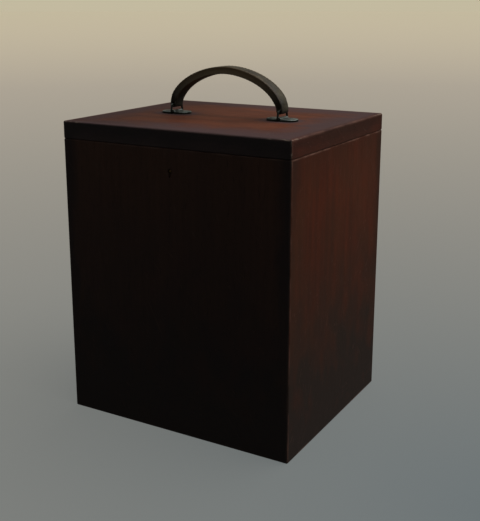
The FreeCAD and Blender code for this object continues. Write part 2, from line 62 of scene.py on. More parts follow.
def linear(colour: str) -> tuple[float, float, float, float]:
    """Turns an sRGB hex colour into the linear one that a shader takes.

    Args:
        colour: six hex digits with a leading hash.

    Returns:
        Linear red, green, blue and an alpha of 1.
    """
    shares = [int(colour[start:start + 2], 16) / 255 for start in (1, 3, 5)]
    return (*[s / 12.92 if s <= 0.04045 else ((s + 0.055) / 1.055) ** 2.4 for s in shares], 1.0)


def add_node(tree: bpy.types.NodeTree, kind: str, inputs: Union[dict, tuple] = (),
             out: Union[int, str, None] = 0, **settings: object) -> Union[Socket, bpy.types.Node]:
    """Adds one node with its settings, values and links.

    Args:
        tree: the node tree that it goes into.
        kind: its type without the leading ShaderNode.
        inputs: its inputs, in their order or by name or number, each a socket to link, a value to set or a
            hex colour. MapRange takes a value, the two ends of its range, and what they become, which is 0
            and 1 if left out. A Mix of colours takes a share as 0 and the two colours as 6 and 7.
        out: the output that is wanted, or None for the node itself.
        settings: its own options.

    Returns:
        The wanted output socket, or the node.
    """
    node = tree.nodes.new("ShaderNode" + kind)
    for name, setting in settings.items():
        setattr(node, name, setting)
    for key, value in inputs.items() if isinstance(inputs, dict) else enumerate(inputs):
        if isinstance(value, Socket):
            tree.links.new(value, node.inputs[key])
        else:
            node.inputs[key].default_value = linear(value) if isinstance(value, str) else value
    return node if out is None else node.outputs[out]


def new_material(name: str) -> tuple[bpy.types.Material, bpy.types.NodeTree, bpy.types.Node]:
    """Starts a material.

    Args:
        name: its name.

    Returns:
        The material, its node tree and its shader.
    """
    material = bpy.data.materials.new(name)
    material.use_nodes = True
    return material, material.node_tree, material.node_tree.nodes["Principled BSDF"]


class End(Enum):
    """An end of the handle, as its direction along X."""

    LEFT = -1
    RIGHT = 1


class Pick(Enum):
    """What is selected in edit mode."""

    FACES = "FACE"
    EDGES = "EDGE"


class GrainCut(Enum):
    """How a piece of wood was cut: turns, in degrees, that bring its grain to Z and its face to Y."""

    UPRIGHT_FACING_Y = (0, 0, 0)
    UPRIGHT_FACING_X = (0, 0, 90)
    ALONG_X_FACING_Z = (0, -90, 90)
    ALONG_X_FACING_Y = (0, -90, 0)
    ALONG_Y_FACING_X = (90, 0, 90)
    ALONG_Y_FACING_Z = (90, 0, 0)

    def radians(self) -> tuple[float, ...]:
        """Gives the turns in radians."""
        return tuple(math.radians(turn) for turn in self.value)


@dataclass(frozen=True)
class Streaks:
    """One pattern of a wood figure or a worn surface, with its real size across and along the grain.

    It runs from 0 to 1 round a mean of a half. Where it marks spots, they begin at one value, are whole at
    another and are as strong as strength says.
    """

    across_mm: float
    along_mm: float
    detail: float = 2.0
    begin: float = 0.0
    whole: float = 1.0
    strength: float = 1.0

    def value(self, tree: bpy.types.NodeTree, grain: Socket) -> Socket:
        """Adds the pattern.

        Args:
            tree: the material's node tree.
            grain: coordinates whose Z runs along the grain.

        Returns:
            The pattern's value.
        """
        across, along = 1 / (self.across_mm * MM), 1 / (self.along_mm * MM)
        placed = add_node(tree, "Mapping", {"Vector": grain, "Scale": (across, across, along)})
        return add_node(tree, "TexNoise", {"Vector": placed, "Scale": 1.0, "Detail": self.detail})

    def spots(self, tree: bpy.types.NodeTree, grain: Socket) -> Socket:
        """Adds the spots that the pattern marks.

        Args:
            tree: the material's node tree.
            grain: coordinates whose Z runs along the grain.

        Returns:
            0 outside the spots and the strength inside them.
        """
        value = self.value(tree, grain)
        return add_node(tree, "MapRange", (value, self.begin, self.whole, 0.0, self.strength))


@dataclass(frozen=True)
class BoardPoint:
    """A point of a board, as the sockets from which its finish is worked out.

    It has its place, its place in coordinates whose Z runs along the grain, its distances from the closed
    case's nearest outer face, edge and top corner, and its height.
    """

    place: Socket
    grain: Socket
    face: Socket
    edge: Socket
    corner: Socket
    height: Socket


@dataclass(frozen=True)
class CaseOutside:
    """The outer faces of the closed case, from which wear, grime and bare wood are told."""

    width: float = 0.290
    depth: float = 0.245
    height: float = 0.350
    seam: float = 0.3297
    plate_place: float = 0.0715
    plate_straight: float = 0.009
    plate_radius: float = 0.010

    def point(self, tree: bpy.types.NodeTree, place: Socket, grain: Socket) -> BoardPoint:
        """Measures how far a point is from the case's outer faces, edges and top corners.

        Args:
            tree: the material's node tree.
            place: the point, in object coordinates.
            grain: the point, in coordinates whose Z runs along the grain.

        Returns:
            The point with its distances and its height.
        """
        half = (self.width / 2, self.depth / 2, self.height / 2)
        centred = add_node(tree, "VectorMath", (place, (0, 0, half[2])), operation="SUBTRACT")
        size = add_node(tree, "VectorMath", (centred,), operation="ABSOLUTE")
        inward = add_node(tree, "VectorMath", (half, size), operation="SUBTRACT")
        parts = add_node(tree, "SeparateXYZ", (inward,), out=None).outputs
        height = add_node(tree, "SeparateXYZ", (place,), out="Z")
        face = add_node(tree, "Math", (parts[0], parts[1]), operation="MINIMUM")
        face = add_node(tree, "Math", (face, parts[2]), operation="MINIMUM")
        upright = add_node(tree, "Math", (parts[0], parts[1]), operation="ADD")
        edge = upright
        for part in parts[:2]:
            level = add_node(tree, "Math", (part, parts[2]), operation="ADD")
            edge = add_node(tree, "Math", (edge, level), operation="MINIMUM")
        below = add_node(tree, "Math", (self.height, height), operation="SUBTRACT")
        corner = add_node(tree, "Math", (upright, below), operation="ADD")
        return BoardPoint(place, grain, face, edge, corner, height)

    def plate_distance(self, tree: bpy.types.NodeTree, place: Socket) -> Socket:
        """Measures how far a point of the lid is from the nearer handle plate's edge.

        Args:
            tree: the material's node tree.
            place: the point, in object coordinates.

        Returns:
            The distance, below zero under the plate.
        """
        mirrored = add_node(tree, "VectorMath", (place,), operation="ABSOLUTE")
        middle = (self.plate_place, 0.0, self.height)
        beside = add_node(tree, "VectorMath", (mirrored, middle), operation="SUBTRACT")
        parts = add_node(tree, "SeparateXYZ", (beside,), out=None).outputs
        along = add_node(tree, "Math", (parts[0],), operation="ABSOLUTE")
        along = add_node(tree, "Math", (along, self.plate_straight), operation="SUBTRACT")
        along = add_node(tree, "Math", (along, 0.0), operation="MAXIMUM")
        apart = add_node(tree, "CombineXYZ", (along, parts[1]))
        apart = add_node(tree, "VectorMath", (apart,), out="Value", operation="LENGTH")
        return add_node(tree, "Math", (apart, self.plate_radius), operation="SUBTRACT")


@dataclass(frozen=True)
class StainedMahogany:
    """Mahogany boards, planed, stained and varnished long ago.

    To the eye: close dark streaks with short open pores, a dull warm red where the varnish is whole, a grey
    bloom towards the borders and the foot, rubbed arrises with painted highlights and chips next to the top's
    corners, and bare wood wherever the brush never went. Some boards carry painted shade below the lid's
    edge, and the lid panel over its left end.
    """

    light: str = "#642c18"
    middle: str = "#432819"
    dark: str = "#351910"
    pore: str = "#21120d"
    bloom: str = "#30251f"
    foot_bloom: str = "#2c2624"
    top_bloom: str = "#47393b"
    rubbed: str = "#6d5147"
    chipped: str = "#8f8478"
    bare: str = "#6b4a33"
    roughness: float = 0.64
    bloom_dullness: float = 0.22
    bare_dullness: float = 0.16
    specular: float = 0.07
    outside: CaseOutside = CaseOutside()

    board_shift: tuple[float, float, float] = (0.137, 0.071, 0.311)
    heart_place: tuple[float, float, float] = (0.03, 0.09, 0.0)
    heart_lean: tuple[float, float, float] = (0.05, 0.03, 0.0)
    heart_taper: float = 0.16
    ring_mm: float = 8.27
    ring_share: float = 0.16
    ribbon: Streaks = Streaks(20.0, 240.0, 3.0)
    ribbon_share: float = 1.2
    # Real fibres, pores and scratches are finer. These are as coarse as they need to be to show.
    fibre: Streaks = Streaks(1.5, 60.0)
    fibre_share: float = 0.4
    tone_span: Span = (0.25, 1.35)
    open_pores: Streaks = Streaks(0.9, 13.0, 1.0, 0.62, 0.74, 0.6)
    stain_patches: Streaks = Streaks(55.0, 80.0, 3.0, 0.38, 0.64, 0.6)
    painted_shade_under_lid: float = 0.0
    painted_shade_reach_under_lid: float = 0.05

    bloom_patches: Streaks = Streaks(26.0, 40.0, 4.0, 0.35, 0.65)
    border: float = 0.014
    border_share: float = 0.6
    foot_reach: float = 0.31
    foot_share: float = 1.3
    foot_blots: Span = (0.75, 1.15)
    foot_colour_reach: float = 0.22
    plate_halo: float = 0.0
    halo_span: Span = (0.003, 0.016)
    top_skin: Span = (0.0016, 0.0004)
    painted_shade_left_end: float = 0.0
    painted_shade_left_span: Span = (-0.10, 0.0)

    rub_patches: Streaks = Streaks(16.0, 22.0, 3.0, 0.36, 0.68)
    knocked_corner: Span = (0.004, 0.030)
    knocked_share: float = 0.9
    arris: Span = (0.0004, 0.0032)
    arris_wear_and_highlight_share: float = 0.7
    seam_drop: float = 0.0006
    seam_highlight_span: Span = (0.0007, 0.0014)
    seam_highlight_share: float = 0.8
    chips: Streaks = Streaks(3.0, 5.0, 1.0, 0.54, 0.6)
    chipped_corner: Span = (0.020, 0.034)
    chipped_arris: Span = (0.0006, 0.0016)
    chipped_share: float = 0.9
    scratches: Streaks = Streaks(1.1, 70.0, 0.0, 0.745, 0.775, 0.4)
    scratch_turn_mm: float = 111.0
    scratch_stray: float = 0.06
    scratch_lean: float = 0.5

    stain_depth: Span = (0.0030, 0.0048)
    stain_rag: float = 0.003
    pore_depth: float = 0.7
    grain_depth: float = 0.00022
    dents: Streaks = Streaks(14.0, 14.0, 1.0)
    dent_depth: float = 0.0009

    def figure(self, tree: bpy.types.NodeTree, point: BoardPoint) -> tuple[Socket, Socket]:
        """Adds the figure: ribbons, fibres and growth rings, which show as long narrow arches.

        The rings lie round a heart 90 mm behind the face.

        Args:
            tree: the material's node tree.
            point: the point that is coloured.

        Returns:
            The tone, from dark to light, and the fibres.
        """
        heart = add_node(tree, "Mapping", {
            "Vector": point.grain, "Location": self.heart_place, "Rotation": self.heart_lean,
            "Scale": (1.0, 1.0, self.heart_taper)})
        rings = add_node(tree, "TexWave", {
            "Vector": heart, "Scale": WAVE_LENGTH / (self.ring_mm * MM), "Distortion": 5.0, "Detail": 3.0,
            "Detail Scale": 1.4}, out=1, wave_type="RINGS", rings_direction="Z")
        ribbon = self.ribbon.value(tree, point.grain)
        fibre = self.fibre.value(tree, point.grain)
        tone = add_node(tree, "Math", (rings, self.ring_share, -self.ring_share / 2),
                        operation="MULTIPLY_ADD")
        tone = add_node(tree, "Math", (ribbon, self.ribbon_share, tone), operation="MULTIPLY_ADD")
        tone = add_node(tree, "Math", (fibre, self.fibre_share, tone), operation="MULTIPLY_ADD")
        return add_node(tree, "MapRange", (tone, *self.tone_span)), fibre

    def stain(self, tree: bpy.types.NodeTree, point: BoardPoint, tone: Socket) -> Socket:
        """Adds the stain, which took unevenly, and painted shade in a band below the lid's overhanging edge.

        Args:
            tree: the material's node tree.
            point: the point that is coloured.
            tone: the figure's tone.

        Returns:
            The stained wood's colour.
        """
        wood = add_node(tree, "Mix", {0: tone, 6: self.dark, 7: self.light}, out=2, data_type="RGBA")
        patches = self.stain_patches.spots(tree, point.grain)
        wood = add_node(tree, "Mix", {0: patches, 6: wood, 7: self.middle}, out=2, data_type="RGBA")
        # Painted shade: the wood is darkened in a band below the lid's edge
        if self.painted_shade_under_lid:
            seam = self.outside.seam
            shade = add_node(tree, "MapRange", (
                point.height, seam - self.painted_shade_reach_under_lid, seam, 0.0, self.painted_shade_under_lid))
            wood = add_node(tree, "Mix", {0: shade, 6: wood, 7: self.dark}, out=2, data_type="RGBA")
        return wood

    def bloom_cover(self, tree: bpy.types.NodeTree, point: BoardPoint) -> Socket:
        """Adds the grey bloom: along wandering borders, towards the foot and round the handle's plates.

        Args:
            tree: the material's node tree.
            point: the point that is coloured.

        Returns:
            How far the bloom covers the wood, from 0 to 1.
        """
        blots = self.bloom_patches.value(tree, point.grain)
        wander = add_node(tree, "Math", (blots, self.border * 2, -self.border), operation="MULTIPLY_ADD")
        reach = add_node(tree, "Math", (point.edge, wander), operation="ADD")
        cover = add_node(tree, "MapRange", (
            reach, self.border * 0.5, self.border * 1.5, self.border_share, 0.0))
        foot = add_node(tree, "MapRange", (point.height, 0.0, self.foot_reach, self.foot_share, 0.0))
        patches = self.bloom_patches
        blots = add_node(tree, "MapRange", (blots, patches.begin, patches.whole, *self.foot_blots))
        foot = add_node(tree, "Math", (foot, blots), operation="MULTIPLY")
        cover = add_node(tree, "Math", (cover, foot), operation="MAXIMUM")
        if self.plate_halo:
            halo = self.outside.plate_distance(tree, point.place)
            halo = add_node(tree, "MapRange", (halo, *self.halo_span, self.plate_halo, 0.0))
            halo = add_node(tree, "Math", (halo, blots), operation="MULTIPLY")
            cover = add_node(tree, "Math", (cover, halo), operation="MAXIMUM")
        return add_node(tree, "Math", (cover, 1.0), operation="MINIMUM")

    def bloom_colour(self, tree: bpy.types.NodeTree, point: BoardPoint) -> Socket:
        """Adds the bloom's colour, which is sootier at the foot and paler on top.

        Args:
            tree: the material's node tree.
            point: the point that is coloured.

        Returns:
            The colour.
        """
        climb = add_node(tree, "MapRange", (point.height, 0.0, self.foot_colour_reach))
        side = add_node(tree, "Mix", {0: climb, 6: self.foot_bloom, 7: self.bloom}, out=2, data_type="RGBA")
        skin = [self.outside.height - depth for depth in self.top_skin]
        on_top = add_node(tree, "MapRange", (point.height, *skin))
        return add_node(tree, "Mix", {0: on_top, 6: side, 7: self.top_bloom}, out=2, data_type="RGBA")

    def scratched(self, tree: bpy.types.NodeTree, point: BoardPoint, rub: Socket) -> Socket:
        """Adds fine scratches that lean across the grain, each its own way.

        Args:
            tree: the material's node tree.
            point: the point that is coloured.
            rub: where the surface is rubbed at all.

        Returns:
            How deep a scratch is, from 0 to 1.
        """
        turn = add_node(tree, "TexNoise", {
            "Vector": point.place, "Scale": 1 / (self.scratch_turn_mm * MM), "Detail": 0.0}, out=1)
        turn = add_node(tree, "VectorMath", {0: turn, "Scale": self.scratch_stray}, operation="SCALE")
        turned = add_node(tree, "VectorMath", (point.grain, turn), operation="ADD")
        turned = add_node(tree, "Mapping", {"Vector": turned, "Rotation": (0.0, self.scratch_lean, 0.0)})
        scratch = self.scratches.spots(tree, turned)
        return add_node(tree, "Math", (scratch, rub), operation="MULTIPLY")

    def rubbing_and_highlights(self, tree: bpy.types.NodeTree, point: BoardPoint, rub: Socket) -> Socket:
        """Adds rubbed arrises, most at the corners, which are part wear and part painted highlight, and a
        line just below the seam where the lid rubs, which is also part wear and part painted highlight.

        Args:
            tree: the material's node tree.
            point: the point that is coloured.
            rub: where the surface is rubbed at all.

        Returns:
            How much wear and painted highlight there is, from 0 to 1.
        """
        knocked = add_node(tree, "MapRange", (point.corner, *self.knocked_corner, self.knocked_share, 0.0))
        knocked = add_node(tree, "Math", (knocked, rub), operation="MAXIMUM")
        arris = add_node(tree, "MapRange", (point.edge, *self.arris, self.arris_wear_and_highlight_share, 0.0))
        line = self.outside.seam - self.seam_drop
        seam = add_node(tree, "Math", (point.height, line), operation="SUBTRACT")
        seam = add_node(tree, "Math", (seam,), operation="ABSOLUTE")
        seam = add_node(tree, "MapRange", (seam, *self.seam_highlight_span, self.seam_highlight_share, 0.0))
        wear_and_highlight = add_node(tree, "Math", (arris, seam), operation="MAXIMUM")
        return add_node(tree, "Math", (wear_and_highlight, knocked), operation="MULTIPLY")

    def chipping(self, tree: bpy.types.NodeTree, point: BoardPoint) -> Socket:
        """Adds chips in the varnish, on the arrises next to the top's corners.

        Args:
            tree: the material's node tree.
            point: the point that is coloured.

        Returns:
            How far the varnish is chipped, from 0 to 1.
        """
        chips = self.chips.spots(tree, point.grain)
        near = add_node(tree, "MapRange", (point.corner, *self.chipped_corner, 1.0, 0.0))
        chips = add_node(tree, "Math", (chips, near), operation="MULTIPLY")
        near = add_node(tree, "MapRange", (point.edge, *self.chipped_arris, self.chipped_share, 0.0))
        return add_node(tree, "Math", (chips, near), operation="MULTIPLY")

    def material(self, name: str, cut: GrainCut, board: int) -> bpy.types.Material:
        """Makes the material of one board.

        Args:
            name: the material's name.
            cut: which way the board's grain runs.
            board: a number of the board's own, which moves the figure so that no two boards are alike.

        Returns:
            The material.
        """
        material, tree, shader = new_material(name)
        place = add_node(tree, "TexCoord", out="Object")
        shift = [step * board for step in self.board_shift]
        grain = add_node(tree, "Mapping", {"Vector": place, "Rotation": cut.radians(), "Location": shift})
        point = self.outside.point(tree, place, grain)
        tone, fibre = self.figure(tree, point)
        wood = self.stain(tree, point, tone)
        pores = self.open_pores.spots(tree, grain)
        wood = add_node(tree, "Mix", {0: pores, 6: wood, 7: self.pore}, out=2, data_type="RGBA")

        cover = self.bloom_cover(tree, point)
        bloom = self.bloom_colour(tree, point)
        wood = add_node(tree, "Mix", {0: cover, 6: wood, 7: bloom}, out=2, data_type="RGBA")
        # Painted shade: darker towards the left end of the piece
        if self.painted_shade_left_end:
            across = add_node(tree, "SeparateXYZ", (place,), out="X")
            left_end_shade = add_node(tree, "MapRange", (across, *self.painted_shade_left_span, self.painted_shade_left_end, 0.0))
            wood = add_node(tree, "Mix", {0: left_end_shade, 6: wood, 7: self.pore}, out=2, data_type="RGBA")

        rub = self.rub_patches.spots(tree, grain)
        scratch = self.scratched(tree, point, rub)
        # Rubbed arrises and scratches, with painted highlights along the arrises and below the seam
        wear_and_highlight = add_node(tree, "Math", (self.rubbing_and_highlights(tree, point, rub), scratch), operation="MAXIMUM")
        wood = add_node(tree, "Mix", {0: wear_and_highlight, 6: wood, 7: self.rubbed}, out=2, data_type="RGBA")
        chips = self.chipping(tree, point)
        wood = add_node(tree, "Mix", {0: chips, 6: wood, 7: self.chipped}, out=2, data_type="RGBA")

        # The stain stops a few millimetres in from the outer faces
        ragged = add_node(tree, "Math", (fibre, self.stain_rag, point.face), operation="MULTIPLY_ADD")
        inside = add_node(tree, "MapRange", (ragged, *self.stain_depth))
        plain = add_node(tree, "Mix", {0: tone, 6: self.middle, 7: self.bare}, out=2, data_type="RGBA")
        colour = add_node(tree, "Mix", {0: inside, 6: wood, 7: plain}, out=2, data_type="RGBA")
        tree.links.new(colour, shader.inputs["Base Color"])
        rough = add_node(tree, "Math", (cover, self.bloom_dullness, self.roughness), operation="MULTIPLY_ADD")
        rough = add_node(tree, "Math", (inside, self.bare_dullness, rough), operation="MULTIPLY_ADD")
        tree.links.new(rough, shader.inputs["Roughness"])
        shader.inputs["Specular IOR Level"].default_value = self.specular

        relief = add_node(tree, "Math", (pores, -self.pore_depth, fibre), operation="MULTIPLY_ADD")
        relief = add_node(tree, "Math", (relief, scratch), operation="SUBTRACT")
        shallow = add_node(tree, "Bump", {"Strength": 0.5, "Distance": self.grain_depth, "Height": relief})
        hollows = self.dents.value(tree, grain)
        normal = add_node(tree, "Bump", {
            "Strength": 0.35, "Distance": self.dent_depth, "Height": hollows, "Normal": shallow})
        tree.links.new(normal, shader.inputs["Normal"])
        return material


@dataclass(frozen=True)
class PlanedWood:
    """Plain wood inside the case, planed and never varnished.

    To the eye: a dry, even brown with soft streaks, a little dust-dark in its pores, and no gloss.
    """

    light: str = "#7a583c"
    dark: str = "#533724"
    soiled: str = "#3c291c"
    roughness: float = 0.78
    specular: float = 0.25
    board_shift: tuple[float, float, float] = (0.093, 0.053, 0.217)
    ribbon: Streaks = Streaks(6.0, 120.0, 3.0)
    # Real fibres are finer. These are as coarse as they need to be to show.
    fibre: Streaks = Streaks(1.0, 30.0)
    fibre_share: float = 0.6
    tone_span: Span = (0.55, 1.05)
    soiling: Streaks = Streaks(24.0, 36.0, 4.0, 0.5, 0.7, 0.55)
    grain_depth: float = 0.0002

    def material(self, name: str, cut: GrainCut, board: int) -> bpy.types.Material:
        """Makes the material of one plain piece.

        Args:
            name: the material's name.
            cut: which way the piece's grain runs.
            board: a number of the piece's own, which moves the figure.

        Returns:
            The material.
        """
        material, tree, shader = new_material(name)
        place = add_node(tree, "TexCoord", out="Object")
        shift = [step * board for step in self.board_shift]
        grain = add_node(tree, "Mapping", {"Vector": place, "Rotation": cut.radians(), "Location": shift})
        ribbon = self.ribbon.value(tree, grain)
        fibre = self.fibre.value(tree, grain)
        tone = add_node(tree, "Math", (fibre, self.fibre_share, ribbon), operation="MULTIPLY_ADD")
        tone = add_node(tree, "MapRange", (tone, *self.tone_span))
        wood = add_node(tree, "Mix", {0: tone, 6: self.dark, 7: self.light}, out=2, data_type="RGBA")
        soil = self.soiling.spots(tree, grain)
        colour = add_node(tree, "Mix", {0: soil, 6: wood, 7: self.soiled}, out=2, data_type="RGBA")
        tree.links.new(colour, shader.inputs["Base Color"])
        shader.inputs["Roughness"].default_value = self.roughness
        shader.inputs["Specular IOR Level"].default_value = self.specular
        normal = add_node(tree, "Bump", {"Strength": 0.5, "Distance": self.grain_depth, "Height": fibre})
        tree.links.new(normal, shader.inputs["Normal"])
        return material


@dataclass(frozen=True)
class AgedMetal:
    """A metal fitting that has been handled for years: filed bright once, then dulled in patches.

    To the eye: a low sheen broken by fine file marks, with darker patches that have gone matt. Where side
    shade is set, what faces sideways or down is painted dark as painted shade, and only what faces up shows
    the metal.
    """

    bright: str
    dull: str
    patch_and_shade: str
    roughness: float
    patch_share: float = 0.8
    patch_dullness: float = 0.25
    painted_side_shade: float = 0.0
    side_shade_facing: Span = (0.3, 0.85)
    patches: Streaks = Streaks(5.0, 5.0, 4.0, 0.40, 0.62)
    file_marks: Streaks = Streaks(0.35, 14.0, 1.0)
    pits: Streaks = Streaks(0.9, 0.9)
    pit_depth: float = 0.00004

    def material(self, name: str, cut: GrainCut = GrainCut.ALONG_X_FACING_Z) -> bpy.types.Material:
        """Makes the material.

        Args:
            name: the material's name.
            cut: which way the file marks run.

        Returns:
            The material.
        """
        material, tree, shader = new_material(name)
        place = add_node(tree, "TexCoord", out="Object")
        grain = add_node(tree, "Mapping", {"Vector": place, "Rotation": cut.radians()})
        patches = self.patches.spots(tree, grain)
        marks = self.file_marks.value(tree, grain)
        metal = add_node(tree, "Mix", {0: marks, 6: self.dull, 7: self.bright}, out=2, data_type="RGBA")
        amount = add_node(tree, "Math", (patches, self.patch_share), operation="MULTIPLY")
        # Painted shade: faces turned sideways or down are painted dark
        if self.painted_side_shade:
            facing = add_node(tree, "TexCoord", out="Normal")
            facing = add_node(tree, "SeparateXYZ", (facing,), out="Z")
            black = add_node(tree, "MapRange", (facing, *self.side_shade_facing, self.painted_side_shade, 0.0))
            amount = add_node(tree, "Math", (amount, black), operation="MAXIMUM")
        colour = add_node(tree, "Mix", {0: amount, 6: metal, 7: self.patch_and_shade}, out=2, data_type="RGBA")
        tree.links.new(colour, shader.inputs["Base Color"])
        shader.inputs["Metallic"].default_value = 1.0
        rough = add_node(tree, "Math", (patches, self.patch_dullness, self.roughness),
                         operation="MULTIPLY_ADD")
        tree.links.new(rough, shader.inputs["Roughness"])
        pits = self.pits.value(tree, grain)
        relief = add_node(tree, "Math", (pits, patches, marks), operation="MULTIPLY_ADD")
        normal = add_node(tree, "Bump", {"Strength": 0.3, "Distance": self.pit_depth, "Height": relief})
        tree.links.new(normal, shader.inputs["Normal"])
        return material


@dataclass(frozen=True)
class BridleLeather:
    """Bridle leather, dyed dark, waxed and darkened further by hands.

    To the eye: olive-black with brown where it has rubbed, black sides that are part edge dye and part
    painted shade, a dull lining painted black as painted shade, a soft shine along the crown, a fine pebbled
    grain, and creases across it where it bends.
    """

    dyed: str = "#19160d"
    rubbed: str = "#443f2c"
    grime_and_shade: str = "#0b0a07"
    gripped: str = "#4c402b"
    roughness: float = 0.42
    specular: float = 0.25
    end_height: float = 0.3615
    full_height: float = 0.3745
    crown_height: float = 0.4010
    end_half_width: float = 0.0076
    full_half_width: float = 0.00965
    margin_span: Span = (0.0018, 0.0048)
    margin_dye_and_shade_share: float = 0.88
    end_share: float = 0.75
    lining_facing: Span = (-0.2, -0.02)
    lining_shade_share: float = 0.85
    lining_dullness: float = 0.45
    wax_variation: float = 0.3
    pebble_mm: float = 1.1
    pebble_valley: Span = (0.0, 0.12)
    pebble_valley_share: float = 0.7
    pebble_dome: Span = (0.0, 0.3)
    pebble_depth: float = 0.00018
    creases: Streaks = Streaks(9.0, 1.6)
    crease_depth: float = 0.0005
    patches: Streaks = Streaks(11.0, 16.0, 4.0, 0.42, 0.66, 0.8)

    def dark_parts_and_shade(self, tree: bpy.types.NodeTree, place: Socket, lining: Socket) -> Socket:
        """Adds up where the leather is painted dark: its sides and margins, part edge dye and part painted
        shade, its lining, as painted shade, and its folded ends.

        Args:
            tree: the material's node tree.
            place: the point, in object coordinates.
            lining: where the lining is.

        Returns:
            How black it is, from 0 to 1.
        """
        parts = add_node(tree, "SeparateXYZ", (place,), out=None).outputs
        half_width = add_node(tree, "MapRange", (
            parts[2], self.end_height, self.full_height, self.end_half_width, self.full_half_width))
        across = add_node(tree, "Math", (parts[1],), operation="ABSOLUTE")
        margin = add_node(tree, "Math", (half_width, across), operation="SUBTRACT")
        # The sides and margins are painted dark: part edge dye, part painted shade
        black = add_node(tree, "MapRange", (margin, *self.margin_span, self.margin_dye_and_shade_share, 0.0))
        black = add_node(tree, "Math", (black, lining), operation="MAXIMUM")
        # Darker low down on the legs and at the folded ends
        ends = add_node(tree, "MapRange", (
            parts[2], self.end_height, self.full_height, self.end_share, 0.0))
        return add_node(tree, "Math", (black, ends), operation="MAXIMUM")

    def material(self, name: str) -> bpy.types.Material:
        """Makes the material.

        Args:
            name: the material's name.

        Returns:
            The material.
        """
        material, tree, shader = new_material(name)
        place = add_node(tree, "TexCoord", out="Object")
        turns = GrainCut.ALONG_X_FACING_Z.radians()
        grain = add_node(tree, "Mapping", {"Vector": place, "Rotation": turns})
        pebbles = add_node(tree, "TexVoronoi", {"Vector": place, "Scale": 1 / (self.pebble_mm * MM)},
                           out="Distance", feature="DISTANCE_TO_EDGE")
        rub = self.patches.spots(tree, grain)
        hide = add_node(tree, "Mix", {0: rub, 6: self.dyed, 7: self.rubbed}, out=2, data_type="RGBA")
        # Painted shade: faces turned down, the lining, are painted dark; the lining is also duller
        facing = add_node(tree, "TexCoord", out="Normal")
        facing = add_node(tree, "SeparateXYZ", (facing,), out="Z")
        lining = add_node(tree, "MapRange", (facing, *self.lining_facing, self.lining_shade_share, 0.0))
        valleys = add_node(tree, "MapRange", (pebbles, *self.pebble_valley, self.pebble_valley_share, 0.0))
        black = self.dark_parts_and_shade(tree, place, lining)
        black = add_node(tree, "Math", (valleys, black), operation="MAXIMUM")
        # Hands have worn the black to brown at the crown
        crown = add_node(tree, "SeparateXYZ", (place,), out="Z")
        crown = add_node(tree, "MapRange", (crown, self.full_height, self.crown_height))
        grime_and_shade = add_node(tree, "Mix", {0: crown, 6: self.grime_and_shade, 7: self.gripped}, out=2, data_type="RGBA")
        colour = add_node(tree, "Mix", {0: black, 6: hide, 7: grime_and_shade}, out=2, data_type="RGBA")
        tree.links.new(colour, shader.inputs["Base Color"])

        waxed = self.patches.value(tree, grain)
        waxy = self.roughness - self.wax_variation / 2
        rough = add_node(tree, "Math", (waxed, self.wax_variation, waxy), operation="MULTIPLY_ADD")
        rough = add_node(tree, "Math", (lining, self.lining_dullness, rough), operation="MULTIPLY_ADD")
        tree.links.new(rough, shader.inputs["Roughness"])
        shader.inputs["Specular IOR Level"].default_value = self.specular
        domes = add_node(tree, "MapRange", (pebbles, *self.pebble_dome))
        fine = add_node(tree, "Bump", {"Strength": 0.5, "Distance": self.pebble_depth, "Height": domes})
        folds = self.creases.value(tree, grain)
        normal = add_node(tree, "Bump", {
            "Strength": 0.5, "Distance": self.crease_depth, "Height": folds, "Normal": fine})
        tree.links.new(normal, shader.inputs["Normal"])
        return material


@dataclass(frozen=True)
class WaxedThread:
    """Waxed linen thread of two twisted strands: dull brown, soiled, with a slanting twist."""

    clean: str = "#5e4e36"
    soiled: str = "#2b2218"
    twist_mm: float = 0.7
    twist_lean: float = 0.8
    twist_depth: float = 0.0001
    roughness: float = 0.7

    def material(self, name: str) -> bpy.types.Material:
        """Makes the material.

        Args:
            name: the material's name.

        Returns:
            The material.
        """
        material, tree, shader = new_material(name)
        place = add_node(tree, "TexCoord", out="Object")
        slant = add_node(tree, "Mapping", {"Vector": place, "Rotation": (0.0, 0.0, self.twist_lean)})
        scale = WAVE_LENGTH / (self.twist_mm * MM)
        twist = add_node(tree, "TexWave", {"Vector": slant, "Scale": scale}, out=1)
        colour = add_node(tree, "Mix", {0: twist, 6: self.soiled, 7: self.clean}, out=2, data_type="RGBA")
        tree.links.new(colour, shader.inputs["Base Color"])
        shader.inputs["Roughness"].default_value = self.roughness
        normal = add_node(tree, "Bump", {"Strength": 0.5, "Distance": self.twist_depth, "Height": twist})
        tree.links.new(normal, shader.inputs["Normal"])
        return material


def deselect_all() -> None:
    """Leaves nothing selected, in object mode."""
    if bpy.context.object and bpy.context.object.mode != "OBJECT":
        bpy.ops.object.mode_set(mode="OBJECT")
    bpy.ops.object.select_all(action="DESELECT")


def start_editing(piece: bpy.types.Object, pick: Pick = Pick.FACES) -> None:
    """Opens a piece in edit mode with all of it selected.

    Args:
        piece: the piece.
        pick: what is selected there.
    """
    deselect_all()
    bpy.context.view_layer.objects.active = piece
    piece.select_set(True)
    bpy.ops.object.mode_set(mode="EDIT")
    bpy.ops.mesh.select_mode(type=pick.value)
    bpy.ops.mesh.select_all(action="SELECT")


def start_strap(place: Vector, lean: float = 0.0) -> bpy.types.Object:
    """Adds the cut end of a strap, one metre square, and opens it in edit mode.

    Args:
        place: its middle.
        lean: how far it is turned about Y, in radians.

    Returns:
        The piece.
    """
    deselect_all()
    bpy.ops.mesh.primitive_plane_add(size=1.0, location=place, rotation=(0.0, lean, 0.0))
    piece = bpy.context.object
    bpy.ops.object.transform_apply(location=True, rotation=True, scale=True)
    start_editing(piece)
    return piece


